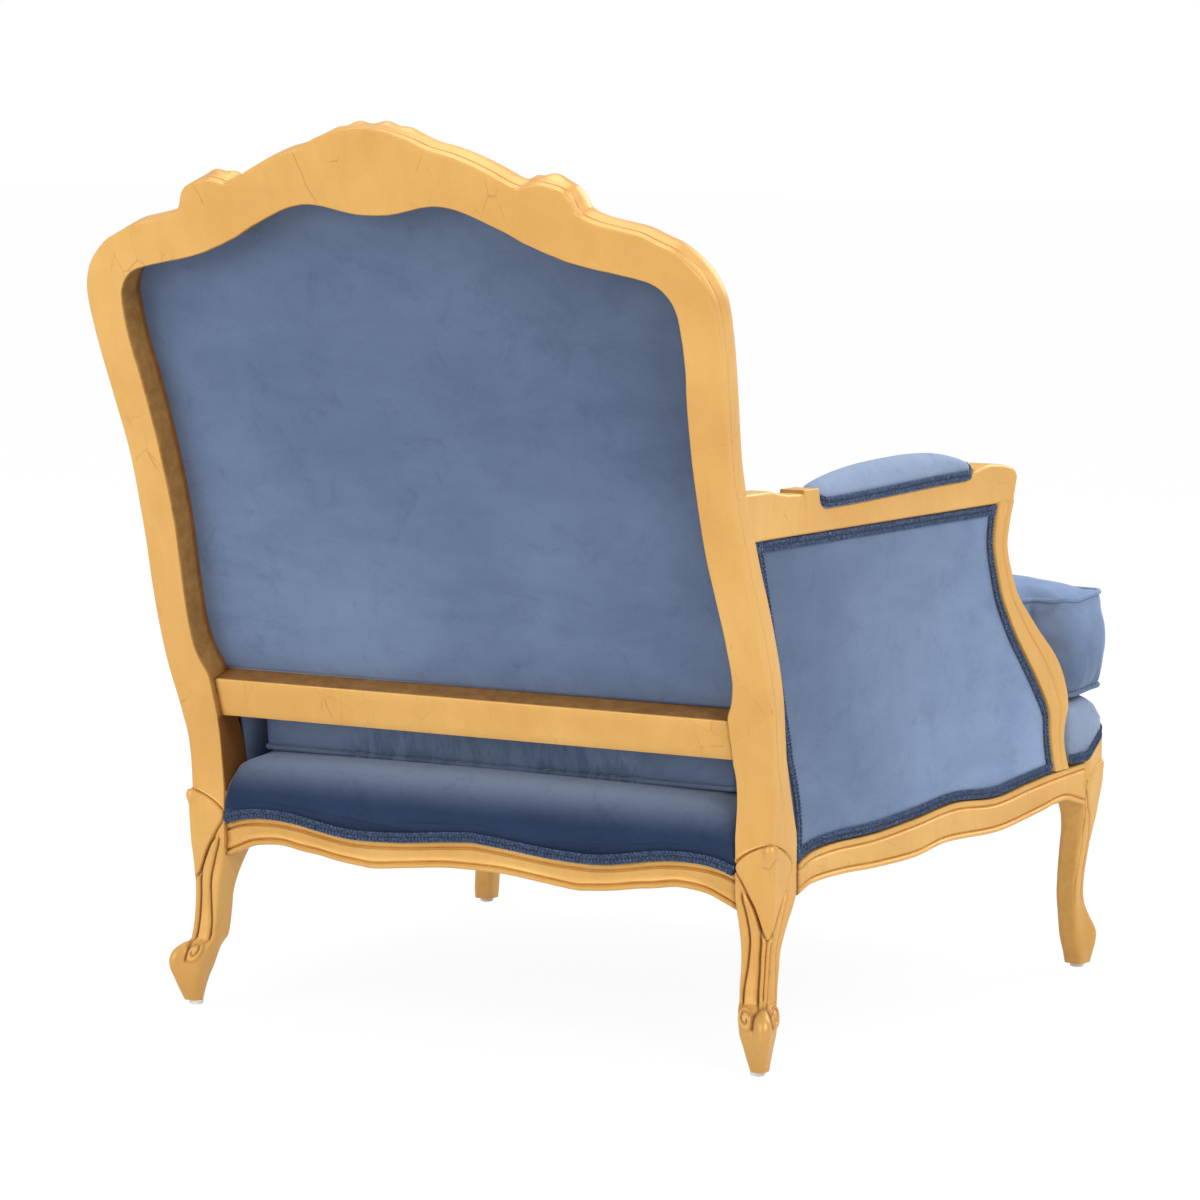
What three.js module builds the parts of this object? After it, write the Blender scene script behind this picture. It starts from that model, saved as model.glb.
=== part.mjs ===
// A bergere armchair in the Louis XV manner: a carved and gilded beech frame with closed sides,
// a webbed seat with a padded deck, padded back, sides and arms, and a loose boxed cushion whose
// two front ears lie before the arm supports.
// Millimetres, +Z up. The chair faces -Y. The origin is on the floor under the middle of its box.

import * as THREE from 'three';

// Clearances between pieces
const seam = 0.3;                  // between wood and wood, and between cloth and what it lies on
const easyFit = 2;                 // round a panel in its rebate, and between soft pieces

// The back: a flat raked frame of two posts and a crest rail
const height = 1040;               // floor to the top of the crest
const backHalfWidth = 410;         // centre line to the outer edge of a shoulder
const shoulderHeight = 828;        // where a post ends and the crest rail begins
const postBaseHeight = 226;        // floor to where the posts' outlines are measured from
const rake = THREE.MathUtils.degToRad(17.46);
const bendHeight = 320.5;          // where the raked and the upright lines of a post would meet
const bendLength = 90;             // height over which a post curves from upright to raked
const frameDepth = 44;             // thickness of the back frame, from rear face to front face
const arris = 1.6;                 // worn edge of the wood
const sideFlat = 24;               // flat part of the outer side, before the front rounds over
const sideLine = 11;               // fine line cut along the outer side, from the rear face
const lineWidth = 2.4;
const lineDepth = 1.2;
const ovoloWidth = 13;             // rounded outer edge of the front, seen from the front
const bandWidth = 20;              // outer edge to the end of the front's raised band
const quirk = 1.2;                 // step beside the band
const coveDepth = 4;               // hollow between the band and the inner bead
const innerBead = 5;               // inner bead beside the rebate
const rebateWidth = 14;            // ledge that holds the back panel
const rebateDepth = 7.3;
const crestScoop = 8;              // how far the crest's upper face falls to the front at its middle
const crestScoopHalf = 100;        // half length of that fall along the crest

// Lower back rail, which closes the back frame above the seat
const lowerRailHeight = 45;
const lowerRailBottom = 345;
const lowerRailInset = 7;          // from the posts' rear face to the rail's

// Rear legs, in one piece with the posts
const rearGlideHalfSpacing = 379;
const rearBlockWidth = 46;
const rearBlockDepth = 61;
const rearBlockFade = 80;          // height over which a post thins from its block to its moulded section
const rearFaceInset = 10;          // from the rear glides' centres forward to the posts' rear face
const rearBlockTop = 262;
const rearToe = 13;                // how far the scroll of a rear foot reaches out

// Front legs
const frontGlideHalfSpacing = 430;
const wheelbase = 734.5;           // depth between the rear and the front glides
const frontBlock = 48;
const frontBlockBack = 6;          // from a front glide's centre back to the middle of its leg's block
const frontBlockOut = 1;           // the same outward
const frontLegTop = 260;
const kneeRise = 30;               // how far a front leg's top rises from its rear to its front face
const frontToe = 17;

// Glides under the feet
const glideDiameter = 17;
const glideHeight = 5;
const glideChamfer = 1.2;

// Seat rails
const railThickness = 42;
const railTop = 262;
const railSlot = 12;               // ledge in a rail's outer face for the deck's cloth
const railInnerBottom = 205;       // flat underside of a rail behind its shaped apron
const apronThickness = 16;
const railInset = 4.5;             // from a post's rear face to the rear rail's
const grooveWidth = 5;             // the two grooves that run along an apron
const grooveDepth = 2.5;
const upperGroove = 8;             // below the exposed upper edge
const lowerGroove = 7;             // above the lower edge
const sideRailProud = 1.5;         // a side rail's outer face beyond the rear block's
const sideRailShy = 3;             // from a front leg's outer face in to a side rail's
const railEdgeHeight = 180;        // floor to the line that the rails' shaped edges are measured from
const exposedHeight = 46;          // height of a rail's apron at a post
const frontRailBow = 18;           // how far the middle of the front rail bows forward
const frontRailInset = 4;          // from the front legs' front face to the front rail's ends

// Arms
const armRearHalf = 395;           // centre line to an arm's outer face, at the post
const armFrontHalf = 434;          // the same at the arm's front end
const armRearWidth = 30;
const armFrontWidth = 42;
const armBottom = 594;
const armReach = 538;              // rear glides' centres to the front end of an arm
const armHeightAtPost = 56;
const armDip = 9;                  // hollow in the arm's upper edge before the pad's step
const armSeatHeight = 26;          // wood below the arm pad, at the pad's rear end
const armSeatRise = 7;             // how far the wood below the pad rises to the pad's front end
const armStepHeight = 4;           // small raised block behind the arm pad
const armStepLength = 31;
const armPadStart = 95;            // from the rear glides' centres to the pad's rear end
const armNoseLength = 101;         // wood in front of the pad
const armPadRise = 41;
const armPadRim = 12;              // upright edge of the pad below its dome
const armFrontHeight = 48;
const armNoseSlant = 12;           // how far the front end falls back from its top to its underside

// Arm supports
const supportSetback = 42;         // from an arm's front end back to the rear edge of its support
const supportBaseBack = 70.5;      // from a front leg's rear face back to the same edge, at the side rail
const supportWidth = 66;           // widest place of a support, seen from the side
const supportThickness = 38;
const supportEase = 6;             // rounding of a support's outer edges

// Upholstery
const panelThickness = 4;
const panelSetback = 2;            // from the outer faces of the sides in to the outer side panels
const panelCrown = 4;
const backGimpShare = 0.32;        // how far up the back pad's crown the braid's inner edge lies
const backPadRim = 4;              // thickness of the back pad at its edge
const backPadCrown = 54;
const sidePadRim = 4;
const sidePadCrown = 22;
const sidePadStart = 24;           // from the posts' front face to the side pads
const sidePadTop = 632;
const deckRearTop = 294;
const deckFrontTop = 342;
const deckOverhang = 8;            // how far the deck's rolled edges stand out over the rails
const deckCorner = 14;             // rounding of the deck's front corners, seen from above
const deckRoll = 34;               // rounding of the deck's edges
const deckCrown = 6;
const webWidth = 55;
const webThickness = 2;
const coverThickness = 1.5;
const gimpWidth = 12;
const gimpThickness = 2;
const gimpLift = 3;                // from the wood's upper edge to the front braid's lower edge
const blockLeg = 62;               // long sides of a corner block

// Loose cushion
const cushionRear = 62;            // rear glides' centres to the cushion's rear face
const cushionHalfWidth = 316;      // at its rear corners
const cushionThickness = 116;
const cushionCrown = 26;
const cushionEarLength = 102;      // depth of the two front ears
const cushionEarHalf = 443;        // centre line to an ear's outer face
const cushionNotchHalf = 366;      // centre line to the cushion's side some way behind an ear
const cushionFlare = 24;           // how far that side turns out where it meets the ear
const cushionFlareLength = 60;
const cushionWaist = 6;            // how far each side draws in between its corners
const cushionRound = 12;           // rounding from the top and bottom into the sides
const cushionBow = 12;             // how far the front bows forward

// Numbers of facets
const postSteps = 14;
const crestSteps = 1;
const ovoloSteps = 3;
const railSteps = 12;              // over half of a rear or front rail, and over a whole side rail
const outlineSteps = 10;
const glideSides = 12;
const spanSteps = 12;
const armSeatSteps = 4;
const domeSteps = 10;              // round an arm pad's dome
const deckSteps = 3;
const cushionSteps = 7;
const flareSteps = 3;
const earSteps = 3;
const kneeSteps = 4;               // of the braid over a front leg's knee

// Smooth value along a table of [position share, value share] rows
function follow(shares, position) {
  const last = shares.length - 1;
  if (position <= shares[0][0]) return shares[0][1];
  if (position >= shares[last][0]) return shares[last][1];
  const index = shares.findIndex((row) => row[0] > position) - 1;
  const slopeAt = (place) => {
    const before = shares[Math.max(place - 1, 0)];
    const after = shares[Math.min(place + 1, last)];
    return (after[1] - before[1]) / (after[0] - before[0]);
  };
  const [start, end] = [shares[index], shares[index + 1]];
  const step = end[0] - start[0];
  const t = (position - start[0]) / step;
  const startShare = (1 + 2 * t) * (1 - t) ** 2;
  const bendShare = t * (1 - t) ** 2;
  const endShare = t * t * (3 - 2 * t);
  const leaveShare = t * t * (t - 1);
  return startShare * start[1] + endShare * end[1]
    + step * (bendShare * slopeAt(index) + leaveShare * slopeAt(index + 1));
}

const lerp = THREE.MathUtils.lerp;
const clamp = THREE.MathUtils.clamp;
const steps = (count) => Array.from({ length: count + 1 }, (_, index) => index / count);

// Closed solid through rings of equally many points, capped at both ends or joined end to end
function loft(rings, joined = false) {
  const size = rings[0].length;
  const positions = rings.flat().flatMap((point) => [point.x, point.y, point.z]);
  const faces = [];
  const spans = joined ? rings.length : rings.length - 1;
  for (let ring = 0; ring < spans; ring++) {
    const next = (ring + 1) % rings.length;
    for (let side = 0; side < size; side++) {
      const other = (side + 1) % size;
      const [a, b] = [ring * size + side, ring * size + other];
      const [c, d] = [next * size + side, next * size + other];
      faces.push([a, b, d], [a, d, c]);
    }
  }
  if (!joined) {
    cap(rings[0]).forEach(([a, b, c]) => faces.push([c, b, a]));
    const offset = (rings.length - 1) * size;
    cap(rings[rings.length - 1]).forEach(([a, b, c]) => faces.push([a + offset, b + offset, c + offset]));
  }
  return facesOut(positions, faces);
}

// Triangles that fill a ring, wound as the ring runs
function cap(ring) {
  const normal = new THREE.Vector3();
  ring.forEach((point, index) => {
    normal.add(new THREE.Vector3().crossVectors(point, ring[(index + 1) % ring.length]));
  });
  normal.normalize();
  const across = new THREE.Vector3().subVectors(ring[1], ring[0]);
  across.addScaledVector(normal, -across.dot(normal)).normalize();
  const up = new THREE.Vector3().crossVectors(normal, across);
  const flat = ring.map((point) => new THREE.Vector2(point.dot(across), point.dot(up)));
  return THREE.ShapeUtils.triangulateShape(flat, []);
}

// Geometry whose faces point out of its solid
function facesOut(positions, faces) {
  const at = (index) => new THREE.Vector3().fromArray(positions, 3 * index);
  let volume = 0;
  faces.forEach(([a, b, c]) => {
    volume += at(a).dot(new THREE.Vector3().crossVectors(at(b), at(c)));
  });
  const wound = volume < 0 ? faces.map(([a, b, c]) => [a, c, b]) : faces;
  const geometry = new THREE.BufferGeometry();
  geometry.setAttribute('position', new THREE.Float32BufferAttribute(positions, 3));
  geometry.setIndex(wound.flat());
  return geometry;
}

const gilt = () => new THREE.MeshStandardMaterial({ color: 0xe0ab5c, roughness: 0.42, metalness: 0.35 });
const bareWood = () => new THREE.MeshStandardMaterial({ color: 0xc9a06c, roughness: 0.75, metalness: 0 });
const velvet = () => new THREE.MeshStandardMaterial({ color: 0x5a7099, roughness: 0.95, metalness: 0 });
const braid = () => new THREE.MeshStandardMaterial({ color: 0x33507a, roughness: 0.9, metalness: 0 });
const jute = () => new THREE.MeshStandardMaterial({ color: 0xb39a6b, roughness: 1, metalness: 0 });
const cambric = () => new THREE.MeshStandardMaterial({ color: 0x2b2b2d, roughness: 1, metalness: 0 });
const nylon = () => new THREE.MeshStandardMaterial({ color: 0xf0f0ec, roughness: 0.4, metalness: 0 });

const chair = new THREE.Group();
const assembly = new THREE.Group();
chair.add(assembly);

function place(name, geometry, material) {
  const mesh = new THREE.Mesh(geometry, material);
  mesh.name = name;
  assembly.add(mesh);
  return mesh;
}

// The rear face of the back, as a depth for each height, and points measured forward from it
const slope = Math.tan(rake);
const bendStart = bendHeight - bendLength / 2;

function faceSlope(z) {
  return slope * clamp((z - bendStart) / bendLength, 0, 1);
}

function faceY(z) {
  const rise = clamp(z - bendStart, 0, bendLength);
  const beyond = Math.max(z - bendStart - bendLength, 0);
  return slope * rise * rise / (2 * bendLength) + slope * beyond - rearFaceInset;
}

function backPoint(x, z, depth) {
  const lean = faceSlope(z);
  const length = Math.hypot(1, lean);
  return new THREE.Vector3(x, faceY(z) - depth / length, z + depth * lean / length);
}

const postFrontY = (z, beyond) => faceY(z) - (frameDepth + beyond) * Math.hypot(1, faceSlope(z));

// Outlines of a post, from the seat up to the shoulder, as shares of the back's half width
const postOuterShares = [
  [0, 0.95], [0.065, 0.95], [0.146, 0.9585], [0.228, 0.9707], [0.307, 0.983], [0.389, 0.985],
  [0.47, 0.98], [0.55, 0.971], [0.63, 0.966], [0.688, 0.9634], [0.749, 0.966], [0.84, 0.98],
  [0.9385, 0.995], [1, 1],
];
const postInnerShares = [
  [0, 0.843], [0.277, 0.843], [0.314, 0.8634], [0.354, 0.8756], [0.435, 0.873], [0.515, 0.8634],
  [0.595, 0.8545], [0.729, 0.8555], [0.812, 0.862], [0.882, 0.871], [0.922, 0.879], [0.965, 0.883],
  [1, 0.883],
];
const postShare = (z) => (z - postBaseHeight) / (shoulderHeight - postBaseHeight);
const postOuter = (z) => backHalfWidth * follow(postOuterShares, postShare(z));
const postInner = (z) => backHalfWidth * follow(postInnerShares, postShare(z));

// Outlines of the crest rail, from its middle to its right shoulder: rows of half width share and
// height share, where heights run from the shoulder joint to the peak
const crestOuterShares = [
  [0, 1], [0.066, 0.986], [0.141, 0.94], [0.2, 0.89], [0.261, 0.859], [0.317, 0.821], [0.378, 0.769],
  [0.43, 0.716], [0.463, 0.696], [0.488, 0.708], [0.517, 0.719], [0.549, 0.71], [0.59, 0.684],
  [0.612, 0.642], [0.632, 0.565], [0.68, 0.524], [0.74, 0.498], [0.8, 0.473], [0.85, 0.43],
  [0.895, 0.391], [0.937, 0.327], [0.968, 0.259], [0.988, 0.182], [0.998, 0.105], [1, 0],
];
const crestInnerShares = [
  [0, 0.542], [0.054, 0.547], [0.105, 0.565], [0.155, 0.586], [0.207, 0.594], [0.262, 0.578],
  [0.317, 0.541], [0.366, 0.5], [0.405, 0.467], [0.451, 0.42], [0.481, 0.396], [0.51, 0.373],
  [0.545, 0.349], [0.573, 0.33], [0.61, 0.312], [0.654, 0.293], [0.7, 0.278], [0.739, 0.264],
  [0.776, 0.25], [0.812, 0.232], [0.839, 0.205], [0.859, 0.167], [0.873, 0.122], [0.881, 0.065],
  [0.883, 0],
];
const crestPoint = ([across, up]) => new THREE.Vector2(
  backHalfWidth * across, lerp(shoulderHeight, height, up));
const crestOuter = new THREE.SplineCurve(crestOuterShares.map(crestPoint));
const crestInner = new THREE.SplineCurve(crestInnerShares.map(crestPoint));

// Section of the back frame between an outer and an inner edge point: square behind, with a fine
// line along its outer side, and in front an ovolo, a raised band, a cove, a bead and a rebate
function frameSection(outer, inner, scoop = 0) {
  const width = outer.distanceTo(inner);
  const across = new THREE.Vector2().subVectors(inner, outer).divideScalar(width);
  const coveEnd = width - rebateWidth - innerBead;
  const bandEnd = Math.min(bandWidth, coveEnd - 3 * quirk);
  const round = steps(ovoloSteps).map((share) => [
    ovoloWidth * (1 - Math.cos(share * Math.PI / 2)),
    sideFlat + (frameDepth - sideFlat) * Math.sin(share * Math.PI / 2),
  ]);
  const sectionPoints = [
    [arris, 0], [arris / 3, arris / 3], [0, arris],
    [0, sideLine - lineWidth / 2], [lineDepth, sideLine], [0, sideLine + lineWidth / 2],
    ...round,
    [bandEnd, frameDepth], [bandEnd + quirk, frameDepth - coveDepth],
    [coveEnd - quirk, frameDepth - coveDepth], [coveEnd, frameDepth - quirk],
    [width - rebateWidth, frameDepth - quirk], [width - rebateWidth, frameDepth - rebateDepth],
    [width, frameDepth - rebateDepth], [width, arris], [width - arris, 0],
  ];
  return sectionPoints.map(([offset, depth]) => {
    const fall = scoop * (depth / frameDepth) * Math.max(1 - offset / bandEnd, 0);
    return backPoint(outer.x + across.x * offset, outer.y + across.y * offset - fall, depth);
  });
}

const mirrorRing = (ring) => ring.map((point) => new THREE.Vector3(-point.x, point.y, point.z));

// Section of a leg: a rounded rectangle whose corners match the frame section's points, with a toe
// that draws the outer corner away along the diagonal
function legSection(centreX, centreY, width, depth, rounding, z, toe, heading) {
  const [halfWidth, halfDepth] = [width / 2, depth / 2];
  const corner = (signX, signY, from, to, count) => steps(count).map((share) => {
    const angle = lerp(from, to, share);
    return [
      signX * (halfWidth - rounding) + rounding * Math.cos(angle),
      signY * (halfDepth - rounding) + rounding * Math.sin(angle),
    ];
  });
  const quarter = Math.PI / 2;
  const outline = [
    ...corner(1, 1, quarter, 0, 4),
    ...corner(1, -1, 0, -quarter, 4),
    ...corner(-1, -1, -quarter, -2 * quarter, 4),
    ...corner(-1, 1, 2 * quarter, quarter, 3),
  ];
  return outline.map(([x, y]) => {
    const reach = clamp((x / halfWidth + heading * y / halfDepth) / 2, 0, 1) ** 2;
    const pull = toe * reach * Math.SQRT1_2;
    return new THREE.Vector3(centreX + x + pull, centreY + y + heading * pull, z);
  });
}

// Stations of a rear leg: shares of the block's top for height, of the block for width and depth,
// rounding as a share of the width, inward and forward offsets as shares of the block's own, and toe
// as a share of its reach
const rearLegShares = [
  [0, 0.42, 0.32, 0.38, -0.2, -0.01, 0.15],
  [0.03, 0.48, 0.37, 0.36, -0.18, -0.02, 0.35],
  [0.065, 0.56, 0.43, 0.34, -0.14, -0.03, 0.5],
  [0.11, 0.66, 0.5, 0.32, -0.08, -0.02, 0.65],
  [0.15, 0.75, 0.58, 0.3, 0.02, 0.01, 0.85],
  [0.185, 0.79, 0.62, 0.3, 0.12, 0.06, 1],
  [0.22, 0.79, 0.62, 0.28, 0.26, 0.12, 0.85],
  [0.25, 0.77, 0.6, 0.24, 0.42, 0.2, 0.55],
  [0.27, 0.75, 0.58, 0.2, 0.56, 0.3, 0.3],
  [0.29, 0.72, 0.56, 0.16, 0.72, 0.42, 0],
  [0.35, 0.71, 0.55, 0.12, 0.82, 0.5, 0],
  [0.42, 0.71, 0.56, 0.12, 0.83, 0.58, 0],
  [0.49, 0.72, 0.58, 0.12, 0.84, 0.63, 0],
  [0.56, 0.78, 0.62, 0.11, 0.86, 0.69, 0],
  [0.62, 0.86, 0.67, 0.1, 0.9, 0.76, 0],
  [0.68, 0.94, 0.78, 0.08, 0.95, 0.86, 0],
  [0.74, 1, 0.93, 0.06, 1, 0.95, 0],
  [0.8, 1, 1, 0.05, 1, 1, 0],
  [1, 1, 1, 0.04, 1, 1, 0],
];

// Heights of a post's sections above its block, and how far each has faded to the moulded section
function postHeights() {
  const fadeTop = rearBlockTop + rearBlockFade;
  const fading = [lerp(rearBlockTop, fadeTop, 1 / 2)];
  return [...fading, ...steps(postSteps).map((share) => lerp(fadeTop, shoulderHeight - seam / 2, share))];
}

function postFade(z) {
  return clamp((z - rearBlockTop) / rearBlockFade, 0, 1);
}

// Depth of a post's front face in front of the rear glides' centres
function postReach(z) {
  return lerp(rearFaceInset + rearBlockDepth, -postFrontY(z, 0), postFade(z));
}

function rearPost(name, side) {
  const foot = glideHeight + seam;
  const outerX = postOuter(rearBlockTop);
  const inward = rearGlideHalfSpacing - (outerX - rearBlockWidth / 2);
  const forward = rearFaceInset + rearBlockDepth / 2;
  const legRings = rearLegShares.map(([up, wide, deep, round, inShare, forwardShare, toeShare]) => legSection(
    rearGlideHalfSpacing - inward * inShare, -forward * forwardShare,
    rearBlockWidth * wide, rearBlockDepth * deep, rearBlockWidth * wide * round,
    lerp(foot, rearBlockTop, up), rearToe * toeShare, 1));
  const postRings = postHeights().map((z) => {
    const moulded = frameSection(new THREE.Vector2(postOuter(z), z), new THREE.Vector2(postInner(z), z));
    const fade = postFade(z);
    if (fade === 1) return moulded;
    const block = legSection(postOuter(z) - rearBlockWidth / 2, -forward, rearBlockWidth, rearBlockDepth,
      arris, z, 0, 1);
    return block.map((point, index) => point.lerp(moulded[index], fade));
  });
  const rings = [...legRings, ...postRings];
  place(name, loft(side < 0 ? rings.map(mirrorRing) : rings), gilt());
}

// The crest rail, swept from shoulder to shoulder between its two outlines
function crestRail() {
  const spans = crestOuterShares.length - 1;
  const half = steps(spans * crestSteps).reverse().map((share) => {
    const outer = crestOuter.getPoint(share);
    const inner = crestInner.getPoint(share);
    if (share === 1) {
      outer.y += seam / 2;
      inner.y += seam / 2;
    }
    const level = 1 - THREE.MathUtils.smoothstep(outer.x, 0, crestScoopHalf);
    return frameSection(outer, inner, crestScoop * level);
  });
  const otherHalf = half.slice(0, -1).reverse().map(mirrorRing);
  place('crest_rail', loft([...half, ...otherHalf]), gilt());
}

function lowerBackRail() {
  const half = postInner(lowerRailBottom) - seam;
  const front = frameDepth - seam;
  const top = lowerRailBottom + lowerRailHeight;
  const section = (x) => [
    [lowerRailBottom, lowerRailInset + arris], [lowerRailBottom + arris, lowerRailInset],
    [top - arris, lowerRailInset], [top, lowerRailInset + arris],
    [top, front - arris], [top - arris, front],
    [lowerRailBottom + arris, front], [lowerRailBottom, front - arris],
  ].map(([z, depth]) => backPoint(x, z, depth));
  place('lower_back_rail', loft([section(-half), section(half)]), gilt());
}

// Edges of the seat rails as heights along each rail, in shares of the exposed height above a base
const rearTopShares = [
  [0, 1], [0.12, 0.93], [0.285, 0.81], [0.44, 0.76], [0.52, 0.79], [0.62, 0.9], [0.69, 0.99],
  [0.77, 1.05], [0.86, 1.05], [0.94, 0.97], [1, 0.82],
];
const rearBottomShares = [
  [0, 0.26], [0.12, 0.24], [0.29, 0.11], [0.4, 0.03], [0.46, 0.06], [0.54, 0.12], [0.62, 0.22],
  [0.69, 0.28], [0.77, 0.37], [0.84, 0.35], [0.9, 0.27], [0.95, 0.12], [1, -0.04],
];
const sideTopShares = [
  [0, 1], [0.045, 1.2], [0.115, 1.28], [0.25, 1.26], [0.39, 1.37], [0.525, 1.52], [0.67, 1.39],
  [0.79, 1.54], [0.875, 1.64], [1, 1.74],
];
const sideBottomShares = [
  [0, 0.23], [0.045, 0.42], [0.145, 0.46], [0.25, 0.4], [0.39, 0.4], [0.495, 0.56], [0.68, 0.49],
  [0.83, 0.7], [0.925, 0.85], [1, 0.6],
];
const frontTopShares = [
  [0, 1.42], [0.15, 1.36], [0.35, 1.2], [0.5, 1.2], [0.65, 1.34], [0.8, 1.52], [0.92, 1.68], [1, 1.86],
];
const frontBottomShares = [
  [0, 0.1], [0.1, 0.14], [0.2, 0.32], [0.32, 0.42], [0.45, 0.34], [0.6, 0.42], [0.75, 0.66],
  [0.88, 0.8], [0.95, 0.72], [1, 0.5],
];
const edgeHeight = (shares, position) => railEdgeHeight + exposedHeight * follow(shares, position);

// Section of a seat rail: a grooved apron outside, a ledge for the deck's cloth, and a deeper core
function railSection(low, high, top, point) {
  const half = grooveWidth / 2;
  const inner = Math.max(railInnerBottom, low + arris);
  return [
    [arris, low], [0, low + arris],
    [0, low + lowerGroove - half], [grooveDepth, low + lowerGroove], [0, low + lowerGroove + half],
    [0, high - upperGroove - half], [grooveDepth, high - upperGroove], [0, high - upperGroove + half],
    [0, high], [railSlot, high], [railSlot, top], [railThickness, top],
    [railThickness, inner + arris], [apronThickness + arris, inner + arris], [apronThickness, low],
  ].map(([inset, z]) => point(inset, z));
}

const rearRailY = -(rearFaceInset + railInset);
const rearRailHalf = () => postOuter(rearBlockTop) - rearBlockWidth - seam;
const sideRailRear = rearFaceInset + rearBlockDepth + seam;
const frontLegRear = wheelbase - frontBlockBack - frontBlock / 2;
const frontLegFront = frontLegRear + frontBlock;
const frontLegInner = frontGlideHalfSpacing + frontBlockOut - frontBlock / 2;
const frontRailHalf = frontLegInner - seam;
const sideRailX = (reach) => lerp(
  postOuter(rearBlockTop) + sideRailProud, frontLegInner + frontBlock - sideRailShy,
  (reach - sideRailRear) / (frontLegRear - sideRailRear));
const sideShare = (reach) => (reach - sideRailRear) / (frontLegRear - sideRailRear);
const sideTop = (reach) => edgeHeight(sideTopShares, sideShare(reach));
const sideBottom = (reach) => edgeHeight(sideBottomShares, sideShare(reach));
const frontRailReach = (x) => frontLegFront - frontRailInset
  + frontRailBow * (1 - (x / frontRailHalf) ** 2);
const sideRailTop = railTop + webThickness + seam;

function rearSeatRail() {
  const half = rearRailHalf();
  const rings = steps(2 * railSteps).map((share) => {
    const x = lerp(-half, half, share);
    const position = Math.abs(x) / half;
    return railSection(edgeHeight(rearBottomShares, position), edgeHeight(rearTopShares, position), railTop,
      (inset, z) => new THREE.Vector3(x, rearRailY - inset, z));
  });
  place('rear_seat_rail', loft(rings), gilt());
}

function frontSeatRail() {
  const rings = steps(2 * railSteps).map((share) => {
    const x = lerp(-frontRailHalf, frontRailHalf, share);
    const position = Math.abs(x) / frontRailHalf;
    return railSection(edgeHeight(frontBottomShares, position), edgeHeight(frontTopShares, position), railTop,
      (inset, z) => new THREE.Vector3(x, inset - frontRailReach(x), z));
  });
  place('front_seat_rail', loft(rings), gilt());
}

function sideSeatRail(name, side) {
  const rings = steps(railSteps).map((share) => {
    const reach = lerp(sideRailRear, frontLegRear - seam, share);
    return railSection(sideBottom(reach), sideTop(reach), sideRailTop,
      (inset, z) => new THREE.Vector3(side * (sideRailX(reach) - inset), -reach, z));
  });
  place(name, loft(rings), gilt());
}

// Stations of a front leg: shares of its height, of the block for size, rounding as a share of size,
// outward shift along the diagonal as a share of the block, toe as a share of its reach, and how much
// of the way its middle has gone from above the glide to above the block
const frontLegShares = [
  [0, 0.56, 0.3, 0, 0.05, 0],
  [0.05, 0.58, 0.28, -0.03, 0.35, 0],
  [0.1, 0.58, 0.26, -0.09, 0.8, 0],
  [0.145, 0.58, 0.25, -0.135, 1, 0],
  [0.187, 0.58, 0.24, -0.155, 0.85, 0],
  [0.22, 0.575, 0.22, -0.17, 0.55, 0],
  [0.262, 0.57, 0.2, -0.185, 0.22, 0],
  [0.31, 0.565, 0.18, -0.21, 0, 0],
  [0.36, 0.56, 0.18, -0.22, 0, 0],
  [0.435, 0.57, 0.18, -0.2, 0, 0],
  [0.52, 0.6, 0.18, -0.15, 0, 0.05],
  [0.6, 0.635, 0.18, -0.09, 0, 0.12],
  [0.66, 0.67, 0.18, -0.04, 0, 0.25],
  [0.725, 0.74, 0.18, 0, 0, 0.45],
  [0.78, 0.82, 0.18, 0, 0, 0.7],
  [0.84, 0.92, 0.19, 0, 0, 0.9],
  [0.9, 1, 0.2, 0, 0, 1],
  [1, 1, 0.2, 0, 0, 1],
];

// Top of a front leg, which rises to its front face
const kneeTop = (reach) => frontLegTop + kneeRise * clamp((reach - frontLegRear) / frontBlock, 0, 1);

function frontLeg(name, side) {
  const foot = glideHeight + seam;
  const rings = frontLegShares.map(([up, size, rounding, shift, toeShare, onBlock]) => legSection(
    frontGlideHalfSpacing + frontBlock * shift * Math.SQRT1_2 + frontBlockOut * onBlock,
    frontBlockBack * onBlock - wheelbase - frontBlock * shift * Math.SQRT1_2,
    frontBlock * size, frontBlock * size, frontBlock * size * rounding,
    lerp(foot, frontLegTop, up), frontToe * toeShare, -1));
  rings[rings.length - 1].forEach((point) => {
    point.z = kneeTop(-point.y);
  });
  place(name, loft(side < 0 ? rings.map(mirrorRing) : rings), gilt());
}

function glide(name, x, y) {
  const radius = glideDiameter / 2;
  const profile = [
    [0, 0], [radius - glideChamfer, 0], [radius, glideChamfer], [radius, glideHeight], [0, glideHeight],
  ].map(([r, z]) => new THREE.Vector2(r, z));
  const geometry = new THREE.LatheGeometry(profile, glideSides);
  geometry.rotateX(Math.PI / 2);
  geometry.translate(x, y, 0);
  place(name, geometry, nylon());
}

// Arms: heights of the upper edge along an arm, from the post to the rounded front end
const armPadEnd = armReach - armNoseLength;
const armX = (reach) => lerp(armRearHalf, armFrontHalf, reach / armReach);
const armWidth = (reach) => lerp(armRearWidth, armFrontWidth, THREE.MathUtils.smoothstep(reach, 0, armReach));
const armPadSeat = (reach) => armBottom + armSeatHeight
  + armSeatRise * THREE.MathUtils.smoothstep(reach, armPadStart, armPadEnd);
const armTopLevel = armBottom + armHeightAtPost;
const armNoseShares = [[0, 0.87], [0.3, 1], [0.6, 0.98], [0.9, 0.84], [1, 0.67]];

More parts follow.
